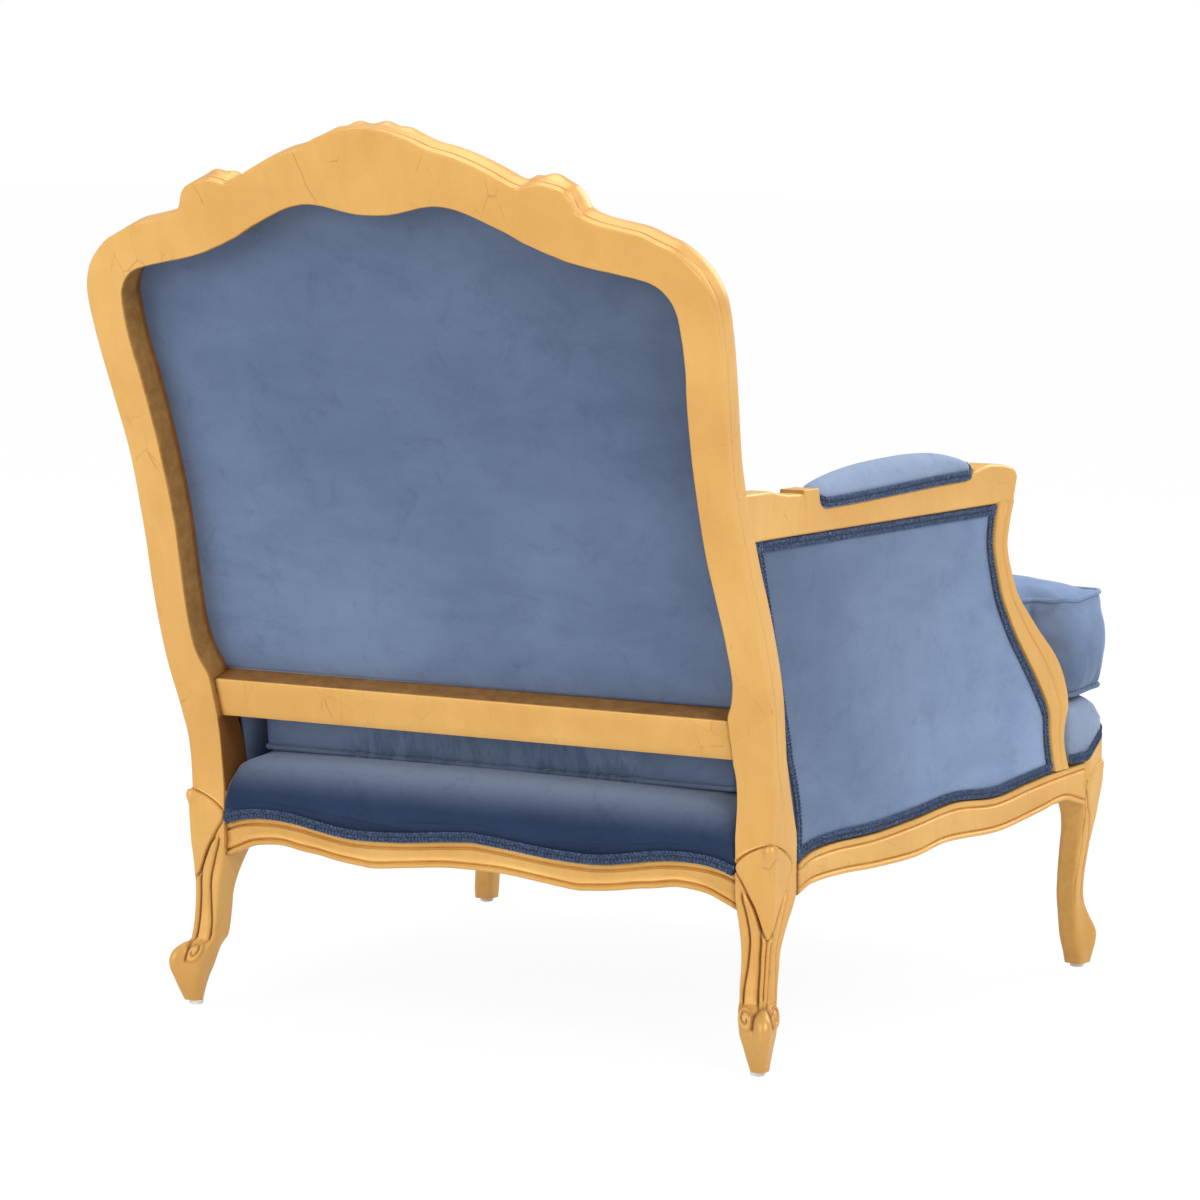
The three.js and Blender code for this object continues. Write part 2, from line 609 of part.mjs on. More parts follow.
function armStations() {
  const stepStart = armPadStart - armStepLength;
  const dip = armTopLevel - armDip;
  return [
    [0, lerp(dip, armTopLevel, 1 / 3), 0], [stepStart - seam, dip, 0], [stepStart, dip + armStepHeight, 0],
    [armPadStart - seam, dip + armStepHeight, 0],
    ...steps(armSeatSteps).map((share) => {
      const reach = lerp(armPadStart, armPadEnd, share);
      return [reach, armPadSeat(reach), 0];
    }),
    ...armNoseShares.map(([along, up]) => [
      lerp(armPadEnd + seam, armReach, along), armBottom + armFrontHeight * up, armNoseSlant * along ** 3]),
  ];
}

function armSection(reach, top, point) {
  const [x, width, ease] = [armX(reach), armWidth(reach), supportEase];
  return [
    [0, armBottom + ease], [ease / 3, armBottom + ease / 3], [ease, armBottom],
    [width - ease, armBottom], [width - ease / 3, armBottom + ease / 3], [width, armBottom + ease],
    [width, top - ease], [width - ease / 3, top - ease / 3], [width - ease, top],
    [ease, top], [ease / 3, top - ease / 3], [0, top - ease],
  ].map(([inset, z]) => point(x - inset, z));
}

function armRail(name, side) {
  const start = armSection(0, armTopLevel, (x, z) => new THREE.Vector3(x, postFrontY(z, seam), z));
  const rest = armStations().map(([reach, top, slant]) => armSection(
    reach, top, (x, z) => new THREE.Vector3(x, slant * (top - z) / (top - armBottom) - reach, z)));
  const rings = [start, ...rest];
  place(name, loft(side < 0 ? rings.map(mirrorRing) : rings), gilt());
}

// Arm supports: reach of the rear edge and width, from the side rail up to the arm
const supportRearShares = [
  [0, 1], [0.1, 0.94], [0.15, 0.92], [0.23, 0.9], [0.34, 0.717], [0.43, 0.53], [0.52, 0.34],
  [0.6, 0.2], [0.675, 0.087], [0.77, 0], [0.86, -0.058], [0.93, -0.04], [1, 0],
];
const supportWidthShares = [
  [0, 0.54], [0.09, 0.49], [0.17, 0.57], [0.28, 0.84], [0.37, 0.99], [0.44, 1], [0.555, 0.8],
  [0.67, 0.58], [0.77, 0.5], [0.84, 0.49], [0.91, 0.53], [0.96, 0.56], [1, 0.6],
];
const supportTopReach = armReach - supportSetback;
const supportBaseReach = frontLegRear - supportBaseBack;
const supportBottom = () => sideTop(supportBaseReach) - seam;
const supportShare = (z) => (z - supportBottom()) / (armBottom - supportBottom());
const supportRear = (z) => lerp(
  supportTopReach, supportBaseReach, follow(supportRearShares, supportShare(z)));
const supportFront = (z) => supportRear(z) + supportWidth * follow(supportWidthShares, supportShare(z));

// Outer face of a side, from the side rail's up to the arm's
function sideX(reach, z) {
  const share = clamp((z - sideTop(reach)) / (armBottom - sideTop(reach)), 0, 1);
  return lerp(sideRailX(reach), armX(reach), share);
}

function armSupport(name, side) {
  const rings = steps(spanSteps).map((share) => {
    const z = lerp(sideRailTop + seam, armBottom - seam, share);
    const [rear, front] = [supportRear(z), supportFront(z)];
    const ease = supportEase;
    const middle = (rear + front) / 2;
    return [
      [rear + arris, 0], [middle - grooveWidth / 2, 0], [middle, grooveDepth], [middle + grooveWidth / 2, 0],
      [front - ease, 0], [front - ease / 3, ease / 3], [front, ease],
      [front, supportThickness - ease], [front - ease / 3, supportThickness - ease / 3],
      [front - ease, supportThickness], [rear + arris, supportThickness],
      [rear, supportThickness - arris], [rear, arris],
    ].map(([reach, inset]) => new THREE.Vector3(side * (sideX(reach, z) - inset), -reach, z));
  });
  place(name, loft(rings), gilt());
}

// Blocks glued into the corners of the seat frame
function cornerBlock(name, points) {
  const shape = new THREE.Shape(points.map(([x, y]) => new THREE.Vector2(x, y)));
  const low = railInnerBottom + easyFit;
  const geometry = new THREE.ExtrudeGeometry(shape, { depth: railTop - easyFit - low, bevelEnabled: false });
  geometry.translate(0, 0, low);
  place(name, geometry, bareWood());
}

function cornerBlocks() {
  const innerSide = (reach) => sideRailX(reach) - railThickness - seam;
  const rearInner = rearRailY - railThickness - seam;
  const postFace = rearRailHalf();
  const frontInner = (x) => railThickness + seam - frontRailReach(x);
  for (const [word, side] of [['left', 1], ['right', -1]]) {
    const mirrored = (points) => points.map(([x, y]) => [side * x, y]);
    cornerBlock(`corner_block_rear_${word}`, mirrored([
      [postFace - blockLeg, rearInner], [postFace - easyFit, rearInner],
      [postFace - easyFit, -sideRailRear - easyFit],
      [innerSide(sideRailRear) - easyFit, -sideRailRear - easyFit],
      [innerSide(sideRailRear + blockLeg), -sideRailRear - blockLeg],
    ]));
    const frontX = frontRailHalf - easyFit;
    cornerBlock(`corner_block_front_${word}`, mirrored([
      [frontX - blockLeg, frontInner(frontX - blockLeg)], [frontX, frontInner(frontX)],
      [frontX, easyFit - frontLegRear],
      [innerSide(frontLegRear - easyFit), easyFit - frontLegRear],
      [innerSide(frontLegRear - blockLeg), blockLeg - frontLegRear],
    ]));
  }
}

// A panel or pad inside a closed outline: a flat base, an upright rim and a crowned face. The
// outline's points are drawn to a centre for the inner rings, and surface gives their places
const crownShares = [[1, 0], [0.94, 0.3], [0.82, 0.62], [0.6, 0.88], [0.3, 1]];

function pad(outline, centre, base, rim, crown, surface) {
  const ringAt = (share, rise) => outline.map(([a, b]) => surface(
    lerp(centre[0], a, share), lerp(centre[1], b, share), rise));
  return loft([
    ringAt(1, base),
    ...crownShares.map(([share, rise]) => ringAt(share, base + rim + crown * rise)),
  ]);
}

// Outline inside the back frame, drawn out into its rebate
function backOutline(grow) {
  const bottom = lowerRailBottom + lowerRailHeight + seam;
  const sides = steps(outlineSteps).map((share) => {
    const z = lerp(bottom, shoulderHeight, share);
    return [postInner(z) + grow, z];
  });
  const crest = steps(2 * outlineSteps).slice(0, -1).reverse().slice(0, -1).map((share) => {
    const point = crestInner.getPoint(share);
    const away = crestInner.getTangent(share);
    return [point.x - away.y * grow, point.y + away.x * grow];
  });
  const right = [...sides, ...crest];
  const peak = [[0, crestInner.getPoint(0).y + grow]];
  const left = right.slice().reverse().map(([x, z]) => [-x, z]);
  return [...right, ...peak, ...left];
}

// Braid round a closed outline: a flat ribbon between the outline and a line drawn in from it, whose
// two edges stand at rises of their own over the surface
function gimpLoop(outline, outerRise, innerRise, surface) {
  const count = outline.length;
  const rows = outline.map(([a, b], index) => {
    const [before, after] = [outline[(index + count - 1) % count], outline[(index + 1) % count]];
    const run = new THREE.Vector2(after[0] - before[0], after[1] - before[1]).normalize();
    const [c, d] = [a - run.y * gimpWidth, b + run.x * gimpWidth];
    return [
      surface(a, b, outerRise), surface(a, b, outerRise + gimpThickness),
      surface(c, d, innerRise + gimpThickness), surface(c, d, innerRise),
    ];
  });
  return loft(rows, true);
}

function backUpholstery() {
  const outline = backOutline(rebateWidth - easyFit);
  const centre = [0, lerp(lowerRailBottom, height, 1 / 2)];
  const ledge = frameDepth - rebateDepth + seam;
  const surface = (x, z, depth) => backPoint(x, z, depth);
  const panelRings = [ledge, ledge + panelThickness].map(
    (depth) => outline.map(([x, z]) => surface(x, z, depth)));
  const padBase = ledge + panelThickness + seam;
  place('outer_back_panel', loft(panelRings), velvet());
  place('back_pad', pad(outline, centre, padBase, backPadRim, backPadCrown, surface), velvet());
  const gimpBase = padBase + backPadRim + seam;
  place('gimp_back', gimpLoop(outline, gimpBase, gimpBase + backPadCrown * backGimpShare, surface), braid());
}

// Outline of a side's opening as [reach, height] between post, arm, support and side rail
function sideOutline(rim, gap) {
  const rows = steps(outlineSteps);
  const armZ = armBottom - rim;
  const rearReach = (z) => gap + postReach(z);
  const topRear = rearReach(armZ);
  const topFront = supportRear(armZ) - gap;
  const bottomFront = supportRear(sideRailTop + rim) - gap;
  const bottomRear = sideRailRear + gap;
  return [
    ...rows.map((share) => [lerp(topRear, topFront, share), armZ]),
    ...steps(spanSteps).slice(1, -1).map((share) => {
      const z = lerp(armZ, sideRailTop + rim, share);
      return [supportRear(z) - gap, z];
    }),
    ...rows.map((share) => [lerp(bottomFront, bottomRear, share), sideRailTop + rim]),
    ...rows.slice(1, -1).map((share) => {
      const z = lerp(sideRailTop + rim, armZ, share);
      return [rearReach(z), z];
    }),
  ];
}

function sideUpholstery(word, side) {
  const outline = sideOutline(seam, easyFit / 2);
  const centre = [lerp(armPadStart, armPadEnd, 1 / 2), lerp(railTop, armBottom, 1 / 2)];
  const outward = (reach, z, rise) => new THREE.Vector3(
    side * (sideX(reach, z) - panelSetback - panelThickness - panelCrown + rise), -reach, z);
  place(`outer_side_panel_${word}`, pad(outline, centre, 0, panelThickness, panelCrown, outward), velvet());
  const turned = outline.slice().reverse();
  const gimpBase = panelThickness + panelCrown / 2 + seam;
  place(`gimp_side_${word}`, gimpLoop(turned, gimpBase, gimpBase, outward), braid());
}

const sideDepth = Math.max(armFrontWidth, railThickness, supportThickness);

// Padded inner face of a side, between the back pad and the arm support, from the deck to the arm
function innerSidePad(word, side) {
  const top = sidePadTop;
  const bottom = sideRailTop + webThickness + 2 * seam;
  const rearReach = (z) => -postFrontY(z, sidePadStart);
  const frontReach = (z) => supportRear(Math.min(z, armBottom)) + easyFit;
  const rows = steps(outlineSteps);
  const outline = [
    ...rows.map((share) => [lerp(rearReach(top), frontReach(top), share), top]),
    ...rows.slice(1, -1).map((share) => {
      const z = lerp(top, bottom, share);
      return [frontReach(z), z];
    }),
    ...rows.map((share) => [lerp(frontReach(bottom), rearReach(bottom), share), bottom]),
    ...rows.slice(1, -1).map((share) => {
      const z = lerp(bottom, top, share);
      return [rearReach(z), z];
    }),
  ];
  const centre = [lerp(armPadStart, armPadEnd, 1 / 2), lerp(bottom, top, 1 / 2)];
  const inward = (reach, z, rise) => new THREE.Vector3(
    side * (sideX(reach, z) - sideDepth - seam - rise), -reach, z);
  place(`inner_side_pad_${word}`, pad(outline, centre, 0, sidePadRim, sidePadCrown, inward), velvet());
}

// Rise of an arm pad along its length
const armPadShares = [
  [0, 0.5], [0.01, 0.6], [0.04, 0.71], [0.08, 0.79], [0.14, 0.87], [0.24, 0.95], [0.38, 1], [0.52, 1],
  [0.65, 0.97], [0.78, 0.9], [0.87, 0.8], [0.94, 0.68], [0.985, 0.54], [1, 0.42],
];

// Domed pad on an arm, with braid round its upright rim
function armPad(word, side) {
  const start = armPadStart + gimpThickness + 2 * seam;
  const end = armPadEnd - gimpThickness - 2 * seam;
  const halfAt = (reach) => armWidth(reach) / 2 - gimpThickness - seam;
  const at = (reach, across, up) => new THREE.Vector3(
    side * (armX(reach) - armWidth(reach) / 2 + across), -reach, armPadSeat(reach) + seam + up);
  const rings = armPadShares.map(([share, riseShare]) => {
    const reach = lerp(start, end, share);
    const rise = armPadRise * riseShare;
    const dome = steps(domeSteps).map((turn) => {
      const angle = Math.PI * turn;
      return [Math.cos(angle), armPadRim + (rise - armPadRim) * Math.sin(angle) ** (2 / 3)];
    });
    return [[1, 0], ...dome, [-1, 0]].map(([across, up]) => at(reach, halfAt(reach) * across, up));
  });
  place(`arm_pad_${word}`, loft(rings), velvet());
  const along = steps(outlineSteps).map((share) => lerp(start - seam, end + seam, share));
  const rim = (reach, sign, out) => [
    [sign * (halfAt(reach) + seam), 0], [sign * (halfAt(reach) + seam + gimpThickness), 0],
    [sign * (halfAt(reach) + seam + gimpThickness), gimpWidth], [sign * (halfAt(reach) + seam), gimpWidth],
  ].map(([across, up], index) => at(index === 1 || index === 2 ? reach + out : reach, across, up));
  const lastPlace = along.length - 1;
  const outAt = (place) => (place === lastPlace ? gimpThickness : 0) - (place === 0 ? gimpThickness : 0);
  const outer = along.map((reach, place) => rim(reach, 1, outAt(place)));
  const inner = along.map((reach, place) => rim(reach, -1, outAt(place))).reverse();
  place(`gimp_arm_${word}`, loft([...outer, ...inner], true), braid());
}

// Webbing: lengthwise straps lie on the front and rear rails, crosswise ones on the side rails
function strap(name, corners, low) {
  const shape = new THREE.Shape(corners.map(([x, y]) => new THREE.Vector2(x, y)));
  const geometry = new THREE.ExtrudeGeometry(shape, { depth: webThickness, bevelEnabled: false });
  geometry.translate(0, 0, low);
  place(name, geometry, jute());
}

function webbing() {
  const lengthShares = [-0.72, -0.24, 0.24, 0.72];
  const crossShares = [0.12, 0.34, 0.56, 0.78];
  const rearEnd = rearRailY - railSlot - easyFit;
  const half = webWidth / 2;
  lengthShares.forEach((share, index) => {
    const x = rearRailHalf() * share;
    const frontEnd = railSlot + easyFit - frontRailReach(Math.abs(x) + half);
    strap(`seat_web_lengthwise_${index + 1}`, [
      [x - half, rearEnd], [x + half, rearEnd], [x + half, frontEnd], [x - half, frontEnd],
    ], railTop + seam);
  });
  crossShares.forEach((share, index) => {
    const reach = lerp(sideRailRear, frontLegRear, share);
    const end = (at) => sideRailX(at) - railThickness / 2;
    const [near, far] = [reach - half, reach + half];
    strap(`seat_web_crosswise_${index + 1}`, [
      [-end(near), -near], [end(near), -near], [end(far), -far], [-end(far), -far],
    ], sideRailTop + seam);
  });
}

function dustCover() {
  const inner = (reach) => sideRailX(reach) - railThickness + easyFit;
  const rear = -rearRailY + railThickness - easyFit;
  const front = frontLegRear - blockLeg / 2;
  const rearHalf = rearRailHalf() - blockLeg / 2;
  const nearReach = sideRailRear + blockLeg / 2;
  const frontHalf = inner(front) - blockLeg / 2;
  const corners = [[rearHalf, -rear], [inner(nearReach), -nearReach], [inner(front), -front],
    [frontHalf, -(frontLegRear)]];
  const outline = [...corners, ...corners.slice().reverse().map(([x, y]) => [-x, y])];
  const shape = new THREE.Shape(outline.map(([x, y]) => new THREE.Vector2(x, y)));
  const geometry = new THREE.ExtrudeGeometry(shape, { depth: coverThickness, bevelEnabled: false });
  geometry.translate(0, 0, railInnerBottom + arris - seam - coverThickness);
  place('dust_cover', geometry, cambric());
}

// The deck: a padded platform over the webbing whose rear and front edges roll down over the rails
const supportInner = (reach) => sideRailX(reach) - supportThickness - easyFit;
const deckFrontOpen = () => Math.max(...steps(spanSteps).map((share) => supportFront(
  lerp(sideRailTop, deckFrontTop + deckCrown, share)))) + easyFit;

function deckHalf(reach) {
  if (reach < sideRailRear) return rearRailHalf() - seam;
  const padFace = sideRailX(reach) - sideDepth - seam - sidePadRim - sidePadCrown - easyFit;
  const inside = Math.min(padFace, supportInner(reach));
  return reach < deckFrontOpen() ? inside : sideRailX(reach) + easyFit;
}

function deckSection({ reach, half, span = half, rise, underside, bow = 0 }) {
  const top = lerp(deckRearTop, deckFrontTop, clamp(reach / wheelbase, 0, 1));
  const low = railTop + 2 * (webThickness + seam) + seam;
  const railSpan = frontRailHalf / deckFrontHalf();
  const legSpan = (frontRailHalf + seam) / deckFrontHalf();
  const across = [
    -1, -legSpan, ...steps(2 * railSteps).map((share) => railSpan * (2 * share - 1)), legSpan, 1];
  const forward = (u) => reach + bow * (1 - u * u);
  const xAt = (u) => (Math.abs(u) < 1 ? span : half) * u;
  const upper = across.map((u) => {
    const edge = (half - Math.abs(xAt(u))) / (deckRoll / 2);
    const fall = edge < 1 ? 1 - Math.sqrt(Math.max(1 - (1 - edge) ** 2, 0)) : 0;
    const z = low + (top - low) * rise * (1 - fall / 2) + deckCrown * rise * (1 - u * u);
    return new THREE.Vector3(xAt(u), -forward(u), z);
  });
  const lower = across.slice().reverse().map((u) => new THREE.Vector3(
    xAt(u), -forward(u), underside(xAt(u), low, forward(u))));
  return [...upper, ...lower];
}

const deckRearFace = -rearRailY + seam - deckOverhang / 2;
const deckFrontFace = frontLegFront - frontRailInset + deckOverhang / 2;
const deckFrontHalf = () => sideRailX(frontLegRear) + easyFit;

function seatDeck() {
  const rearSkirt = -rearRailY + seam;
  const rearCore = -rearRailY + railSlot - seam;
  const frontOpen = deckFrontOpen();
  const frontSkirt = frontLegFront - frontRailInset - seam;
  const frontCore = frontSkirt - railSlot + 2 * seam;
  const rearUnder = (x) => edgeHeight(rearTopShares, Math.abs(x) / rearRailHalf()) + easyFit;
  const flatUnder = (x, low) => low;
  const coreUnder = (x, low, reach) => Math.max(low, kneeTop(reach) + seam);
  const frontUnder = (x, low, reach) => Math.max(
    edgeHeight(frontTopShares, Math.min(Math.abs(x) / frontRailHalf, 1)) + easyFit / 2,
    Math.abs(x) > frontRailHalf ? kneeTop(reach) + easyFit : 0);
  const inner = (reach) => ({ reach, half: deckHalf(reach), rise: 1, underside: flatUnder });
  const front = (reach, rise, bow, underside, cut = 0) => ({
    reach, half: deckFrontHalf() - cut, span: deckFrontHalf(), rise, underside, bow,
  });
  const sections = [
    { reach: deckRearFace, half: deckHalf(0), rise: 0.35, underside: rearUnder },
    { reach: rearSkirt, half: deckHalf(0), rise: 0.6, underside: rearUnder },
    { reach: rearCore, half: deckHalf(0), rise: 0.86, underside: rearUnder },
    { reach: rearCore + seam / 2, half: deckHalf(0), rise: 0.87, underside: flatUnder },
    { reach: sideRailRear - seam, half: deckHalf(0), rise: 1, underside: flatUnder },
    ...steps(deckSteps).slice(0, -1).map((share) => inner(lerp(sideRailRear + easyFit, frontOpen, share))),
    inner(frontOpen - seam),
    inner(frontOpen + seam),
    front(frontLegRear, 1, 0, coreUnder),
    front(frontCore - seam, 1, frontRailBow, coreUnder),
    front(frontCore, 1, frontRailBow, frontUnder),
    front(frontSkirt, 0.92, frontRailBow, frontUnder, deckCorner / 3),
    front(deckFrontFace, 0.7, frontRailBow, frontUnder, deckCorner),
  ];
  place('seat_deck', loft(sections.map(deckSection)), velvet());
}

// The loose cushion: a boxed T form, crowned above, with its sides drawn in between the corners
const earStart = deckFrontOpen();
const cushionFront = earStart + cushionEarLength;

function cushionHalfAt(reach) {
  if (reach <= earStart) {
    const share = (reach - cushionRear) / (earStart - cushionRear);
    const waist = cushionWaist * Math.sin(Math.PI * share);
    const flare = THREE.MathUtils.smoothstep(reach, earStart - cushionFlareLength, earStart) ** 2;
    return lerp(cushionHalfWidth, cushionNotchHalf, share) - waist + cushionFlare * flare;
  }
  const share = (reach - earStart) / cushionEarLength;
  return cushionEarHalf - cushionWaist / 2 * Math.sin(Math.PI * share);
}

function cushionSection(reach, half, drop, bow) {
  const along = (reach - cushionRear) / (cushionFront - cushionRear);
  const seatGap = seam + deckCrown;
  const bottom = lerp(deckRearTop, deckFrontTop, clamp(reach / wheelbase, 0, 1)) + seatGap;
  const across = steps(spanSteps);
  const edgeFall = (u) => {
    const inset = Math.max(half * (1 - Math.abs(u)), 0);
    return inset < cushionRound ? 1 - Math.sqrt(1 - (1 - inset / cushionRound) ** 2) : 0;
  };
  const crown = cushionCrown * Math.max(1 - (2 * along - 1) ** 4, 0);
  const point = (u, z) => new THREE.Vector3(half * u, -reach - bow * (1 - u * u), z);
  const top = bottom + cushionThickness;
  const upper = across.map((share) => {
    const u = 2 * share - 1;
    return point(u, top - drop - cushionRound * edgeFall(u) + crown * (1 - u ** 4));
  });
  const lower = across.slice().reverse().map((share) => {
    const u = 2 * share - 1;
    return point(u, bottom + drop + cushionRound * edgeFall(u));
  });
  return [...upper, ...lower];
}

function seatCushion() {
  const flareStart = earStart - cushionFlareLength;
  const main = steps(cushionSteps).map((share) => lerp(cushionRear + cushionRound, flareStart, share));
  const flared = steps(flareSteps).slice(1).map((share) => lerp(flareStart, earStart - seam, share));
  const ears = steps(earSteps).map((share) => lerp(earStart + seam, cushionFront - cushionRound, share));
  const rows = [
    [cushionRear, cushionHalfAt(cushionRear) - cushionRound / 2, cushionRound],
    [cushionRear + cushionRound / 4, cushionHalfAt(cushionRear) - cushionRound / 4, cushionRound / 3],
    ...[...main, ...flared].map((reach) => [reach, cushionHalfAt(reach), 0]),
    ...ears.map((reach) => [reach, cushionHalfAt(reach), 0]),
    [cushionFront - cushionRound / 4, cushionHalfAt(cushionFront) - cushionRound / 4, cushionRound / 3],
    [cushionFront, cushionHalfAt(cushionFront) - cushionRound / 2, cushionRound],
  ];
  const rings = rows.map(([reach, half, drop]) => {
    const share = clamp((reach - earStart) / cushionEarLength, 0, 1);
    return cushionSection(reach, half, drop, cushionBow * share);
  });
  place('seat_cushion', loft(rings), velvet());
}

// Braid along an open line of [point, outward] rows, drawn up from the line by its width
function braidAlong(rows) {
  return loft(rows.map(([point, outward]) => {
    const up = new THREE.Vector3(0, 0, 1);
    const corner = (rise, out) => point.clone().addScaledVector(outward, out).addScaledVector(up, rise);
    return [corner(0, 0), corner(0, gimpThickness), corner(gimpWidth, gimpThickness), corner(gimpWidth, 0)];
  }));
}

function rearGimp() {
  const half = rearRailHalf() - seam;
  const outward = new THREE.Vector3(0, 1, 0);
  const rows = steps(2 * railSteps).map((share) => {
    const x = lerp(-half, half, share);
    const z = edgeHeight(rearTopShares, Math.abs(x) / half) - gimpWidth / 3;
    return [new THREE.Vector3(x, seam - deckRearFace, z), outward];
  });
  place('gimp_seat_rear', braidAlong(rows), braid());
}

// Braid round the front of the seat, from arm support to arm support over the front legs' knees
function frontGimp() {
  const half = deckFrontHalf();
  const side = steps(kneeSteps).map((share) => {
    const reach = lerp(deckFrontOpen() + seam, frontLegFront - railSlot - frontRailInset, share);
    const x = deckHalf(reach) + seam;
    return [new THREE.Vector3(x, -reach, kneeTop(reach) + gimpLift), new THREE.Vector3(1, 0, 0)];
  });
  const corner = [
    new THREE.Vector3(half + seam - deckCorner / 3, -deckFrontFace, kneeTop(deckFrontFace) + gimpLift),
    new THREE.Vector3(Math.SQRT1_2, -Math.SQRT1_2, 0),
  ];
  const across = steps(railSteps).map((share) => {
    const x = (half - deckCorner) * (1 - share);
    const y = -deckFrontFace - seam - frontRailBow * (1 - (x / half) ** 2);
    const rail = edgeHeight(frontTopShares, Math.min(x / frontRailHalf, 1)) + gimpLift;
    const z = x > frontRailHalf ? kneeTop(frontLegFront) + gimpLift : rail;
    return [new THREE.Vector3(x, y, z), new THREE.Vector3(0, -1, 0)];
  });
  const leftHalf = [...side, corner, ...across];
  const rightHalf = leftHalf.slice(0, -1).reverse().map(([point, outward]) => [
    new THREE.Vector3(-point.x, point.y, point.z), new THREE.Vector3(-outward.x, outward.y, 0)]);
  place('gimp_seat_front', braidAlong([...leftHalf, ...rightHalf]), braid());
}

rearPost('rear_post_left', 1);
rearPost('rear_post_right', -1);
crestRail();
lowerBackRail();
rearSeatRail();
frontSeatRail();
for (const [word, side] of [['left', 1], ['right', -1]]) {
  sideSeatRail(`side_seat_rail_${word}`, side);
  frontLeg(`front_leg_${word}`, side);
  armRail(`arm_rail_${word}`, side);
  armSupport(`arm_support_${word}`, side);
  glide(`glide_rear_${word}`, side * rearGlideHalfSpacing, 0);
  glide(`glide_front_${word}`, side * frontGlideHalfSpacing, -wheelbase);
  sideUpholstery(word, side);
  innerSidePad(word, side);
  armPad(word, side);
}
cornerBlocks();
backUpholstery();
webbing();
dustCover();
seatDeck();
rearGimp();
frontGimp();
seatCushion();

assembly.updateMatrixWorld(true);
const bounds = new THREE.Box3().setFromObject(assembly);
assembly.position.y = -(bounds.min.y + bounds.max.y) / 2;

export default chair;
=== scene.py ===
import math

import bpy
import numpy as np
from mathutils import Matrix, Vector


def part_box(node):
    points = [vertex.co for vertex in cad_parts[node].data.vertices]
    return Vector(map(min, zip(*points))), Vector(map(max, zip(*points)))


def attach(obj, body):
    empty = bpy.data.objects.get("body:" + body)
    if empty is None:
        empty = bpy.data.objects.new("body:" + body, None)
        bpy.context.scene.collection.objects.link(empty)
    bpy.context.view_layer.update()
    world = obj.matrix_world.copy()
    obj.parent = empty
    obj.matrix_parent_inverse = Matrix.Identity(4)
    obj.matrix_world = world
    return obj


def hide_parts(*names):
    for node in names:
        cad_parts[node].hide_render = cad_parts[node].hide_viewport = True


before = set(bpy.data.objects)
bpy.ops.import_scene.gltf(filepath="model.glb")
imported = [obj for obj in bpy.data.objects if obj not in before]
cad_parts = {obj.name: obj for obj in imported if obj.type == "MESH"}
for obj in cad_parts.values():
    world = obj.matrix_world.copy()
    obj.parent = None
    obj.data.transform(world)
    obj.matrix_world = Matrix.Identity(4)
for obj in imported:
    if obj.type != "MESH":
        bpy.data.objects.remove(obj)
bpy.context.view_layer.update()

glide_low, glide_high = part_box("glide_rear_left")
# Sizes below are in millimetres with y = 0 at the rear glides' centres; rows are moved by this, in metres
SHIFT = (glide_low.y + glide_high.y) / 2

# Camera
AZIMUTH, ELEVATION = math.radians(210.453), math.radians(6.759)
back = Vector((math.sin(AZIMUTH) * math.cos(ELEVATION), -math.cos(AZIMUTH) * math.cos(ELEVATION),
               math.sin(ELEVATION)))
right = Vector((0, 0, 1)).cross(back).normalized()
upward = back.cross(right)
camera_data = bpy.data.cameras.new("camera")
camera_data.sensor_width = 36
camera_data.lens = 36 * 4464.99 / 1200
camera_data.clip_end = 60
camera = bpy.data.objects.new("camera", camera_data)
camera.matrix_world = Matrix.Translation((-2.676, 4.25 + SHIFT, 1.10)) @ Matrix(
    (right, upward, back)).transposed().to_4x4()
bpy.context.scene.collection.objects.link(camera)
bpy.context.scene.camera = camera


# Numbers
def follow(table, t):
    """Smooth values along a table of rows [place, value, ...]."""
    table = np.asarray(table, float)
    x, v = table[:, 0], table[:, 1:]
    t = np.clip(np.atleast_1d(np.asarray(t, float)), x[0], x[-1])
    i = np.clip(np.searchsorted(x, t, side="right") - 1, 0, len(x) - 2)
    lo, hi = np.maximum(np.arange(len(x)) - 1, 0), np.minimum(np.arange(len(x)) + 1, len(x) - 1)
    slope = (v[hi] - v[lo]) / (x[hi] - x[lo])[:, None]
    h = (x[i + 1] - x[i])
    s = ((t - x[i]) / h)[:, None]
    h = h[:, None]
    out = ((1 + 2 * s) * (1 - s) ** 2 * v[i] + s * (1 - s) ** 2 * h * slope[i]
           + s * s * (3 - 2 * s) * v[i + 1] + s * s * (s - 1) * h * slope[i + 1])
    return out[:, 0] if v.shape[1] == 1 else out


def spline(points, count):
    """Evenly parametrised uniform Catmull-Rom curve through the points."""
    p = np.asarray(points, float)
    t = np.linspace(0, len(p) - 1, count)
    i = np.minimum(t.astype(int), len(p) - 2)
    s = (t - i)[:, None]
    a, b, c, d = p[np.maximum(i - 1, 0)], p[i], p[i + 1], p[np.minimum(i + 2, len(p) - 1)]
    return 0.5 * (2 * b + (c - a) * s + (2 * a - 5 * b + 4 * c - d) * s ** 2 + (3 * b - a - 3 * c + d) * s ** 3)


def smooth(a, b, x):
    t = np.clip((np.asarray(x, float) - a) / (b - a), 0, 1)
    return t * t * (3 - 2 * t)


def lerp(a, b, t):
    return a + (b - a) * t


def wander(points, size, seed=0):
    """Smooth repeatable noise from -1 to 1 at points in millimetres."""
    rng = np.random.default_rng(seed)
    out = np.zeros(len(points))
    for octave in range(3):
        for _ in range(4):
            direction = rng.normal(size=3)
            direction *= 2 * math.pi * 1.9 ** octave / (size * np.linalg.norm(direction))
            out += np.sin(points @ direction + rng.uniform(0, 2 * math.pi)) * 0.6 ** octave / 4
    return out


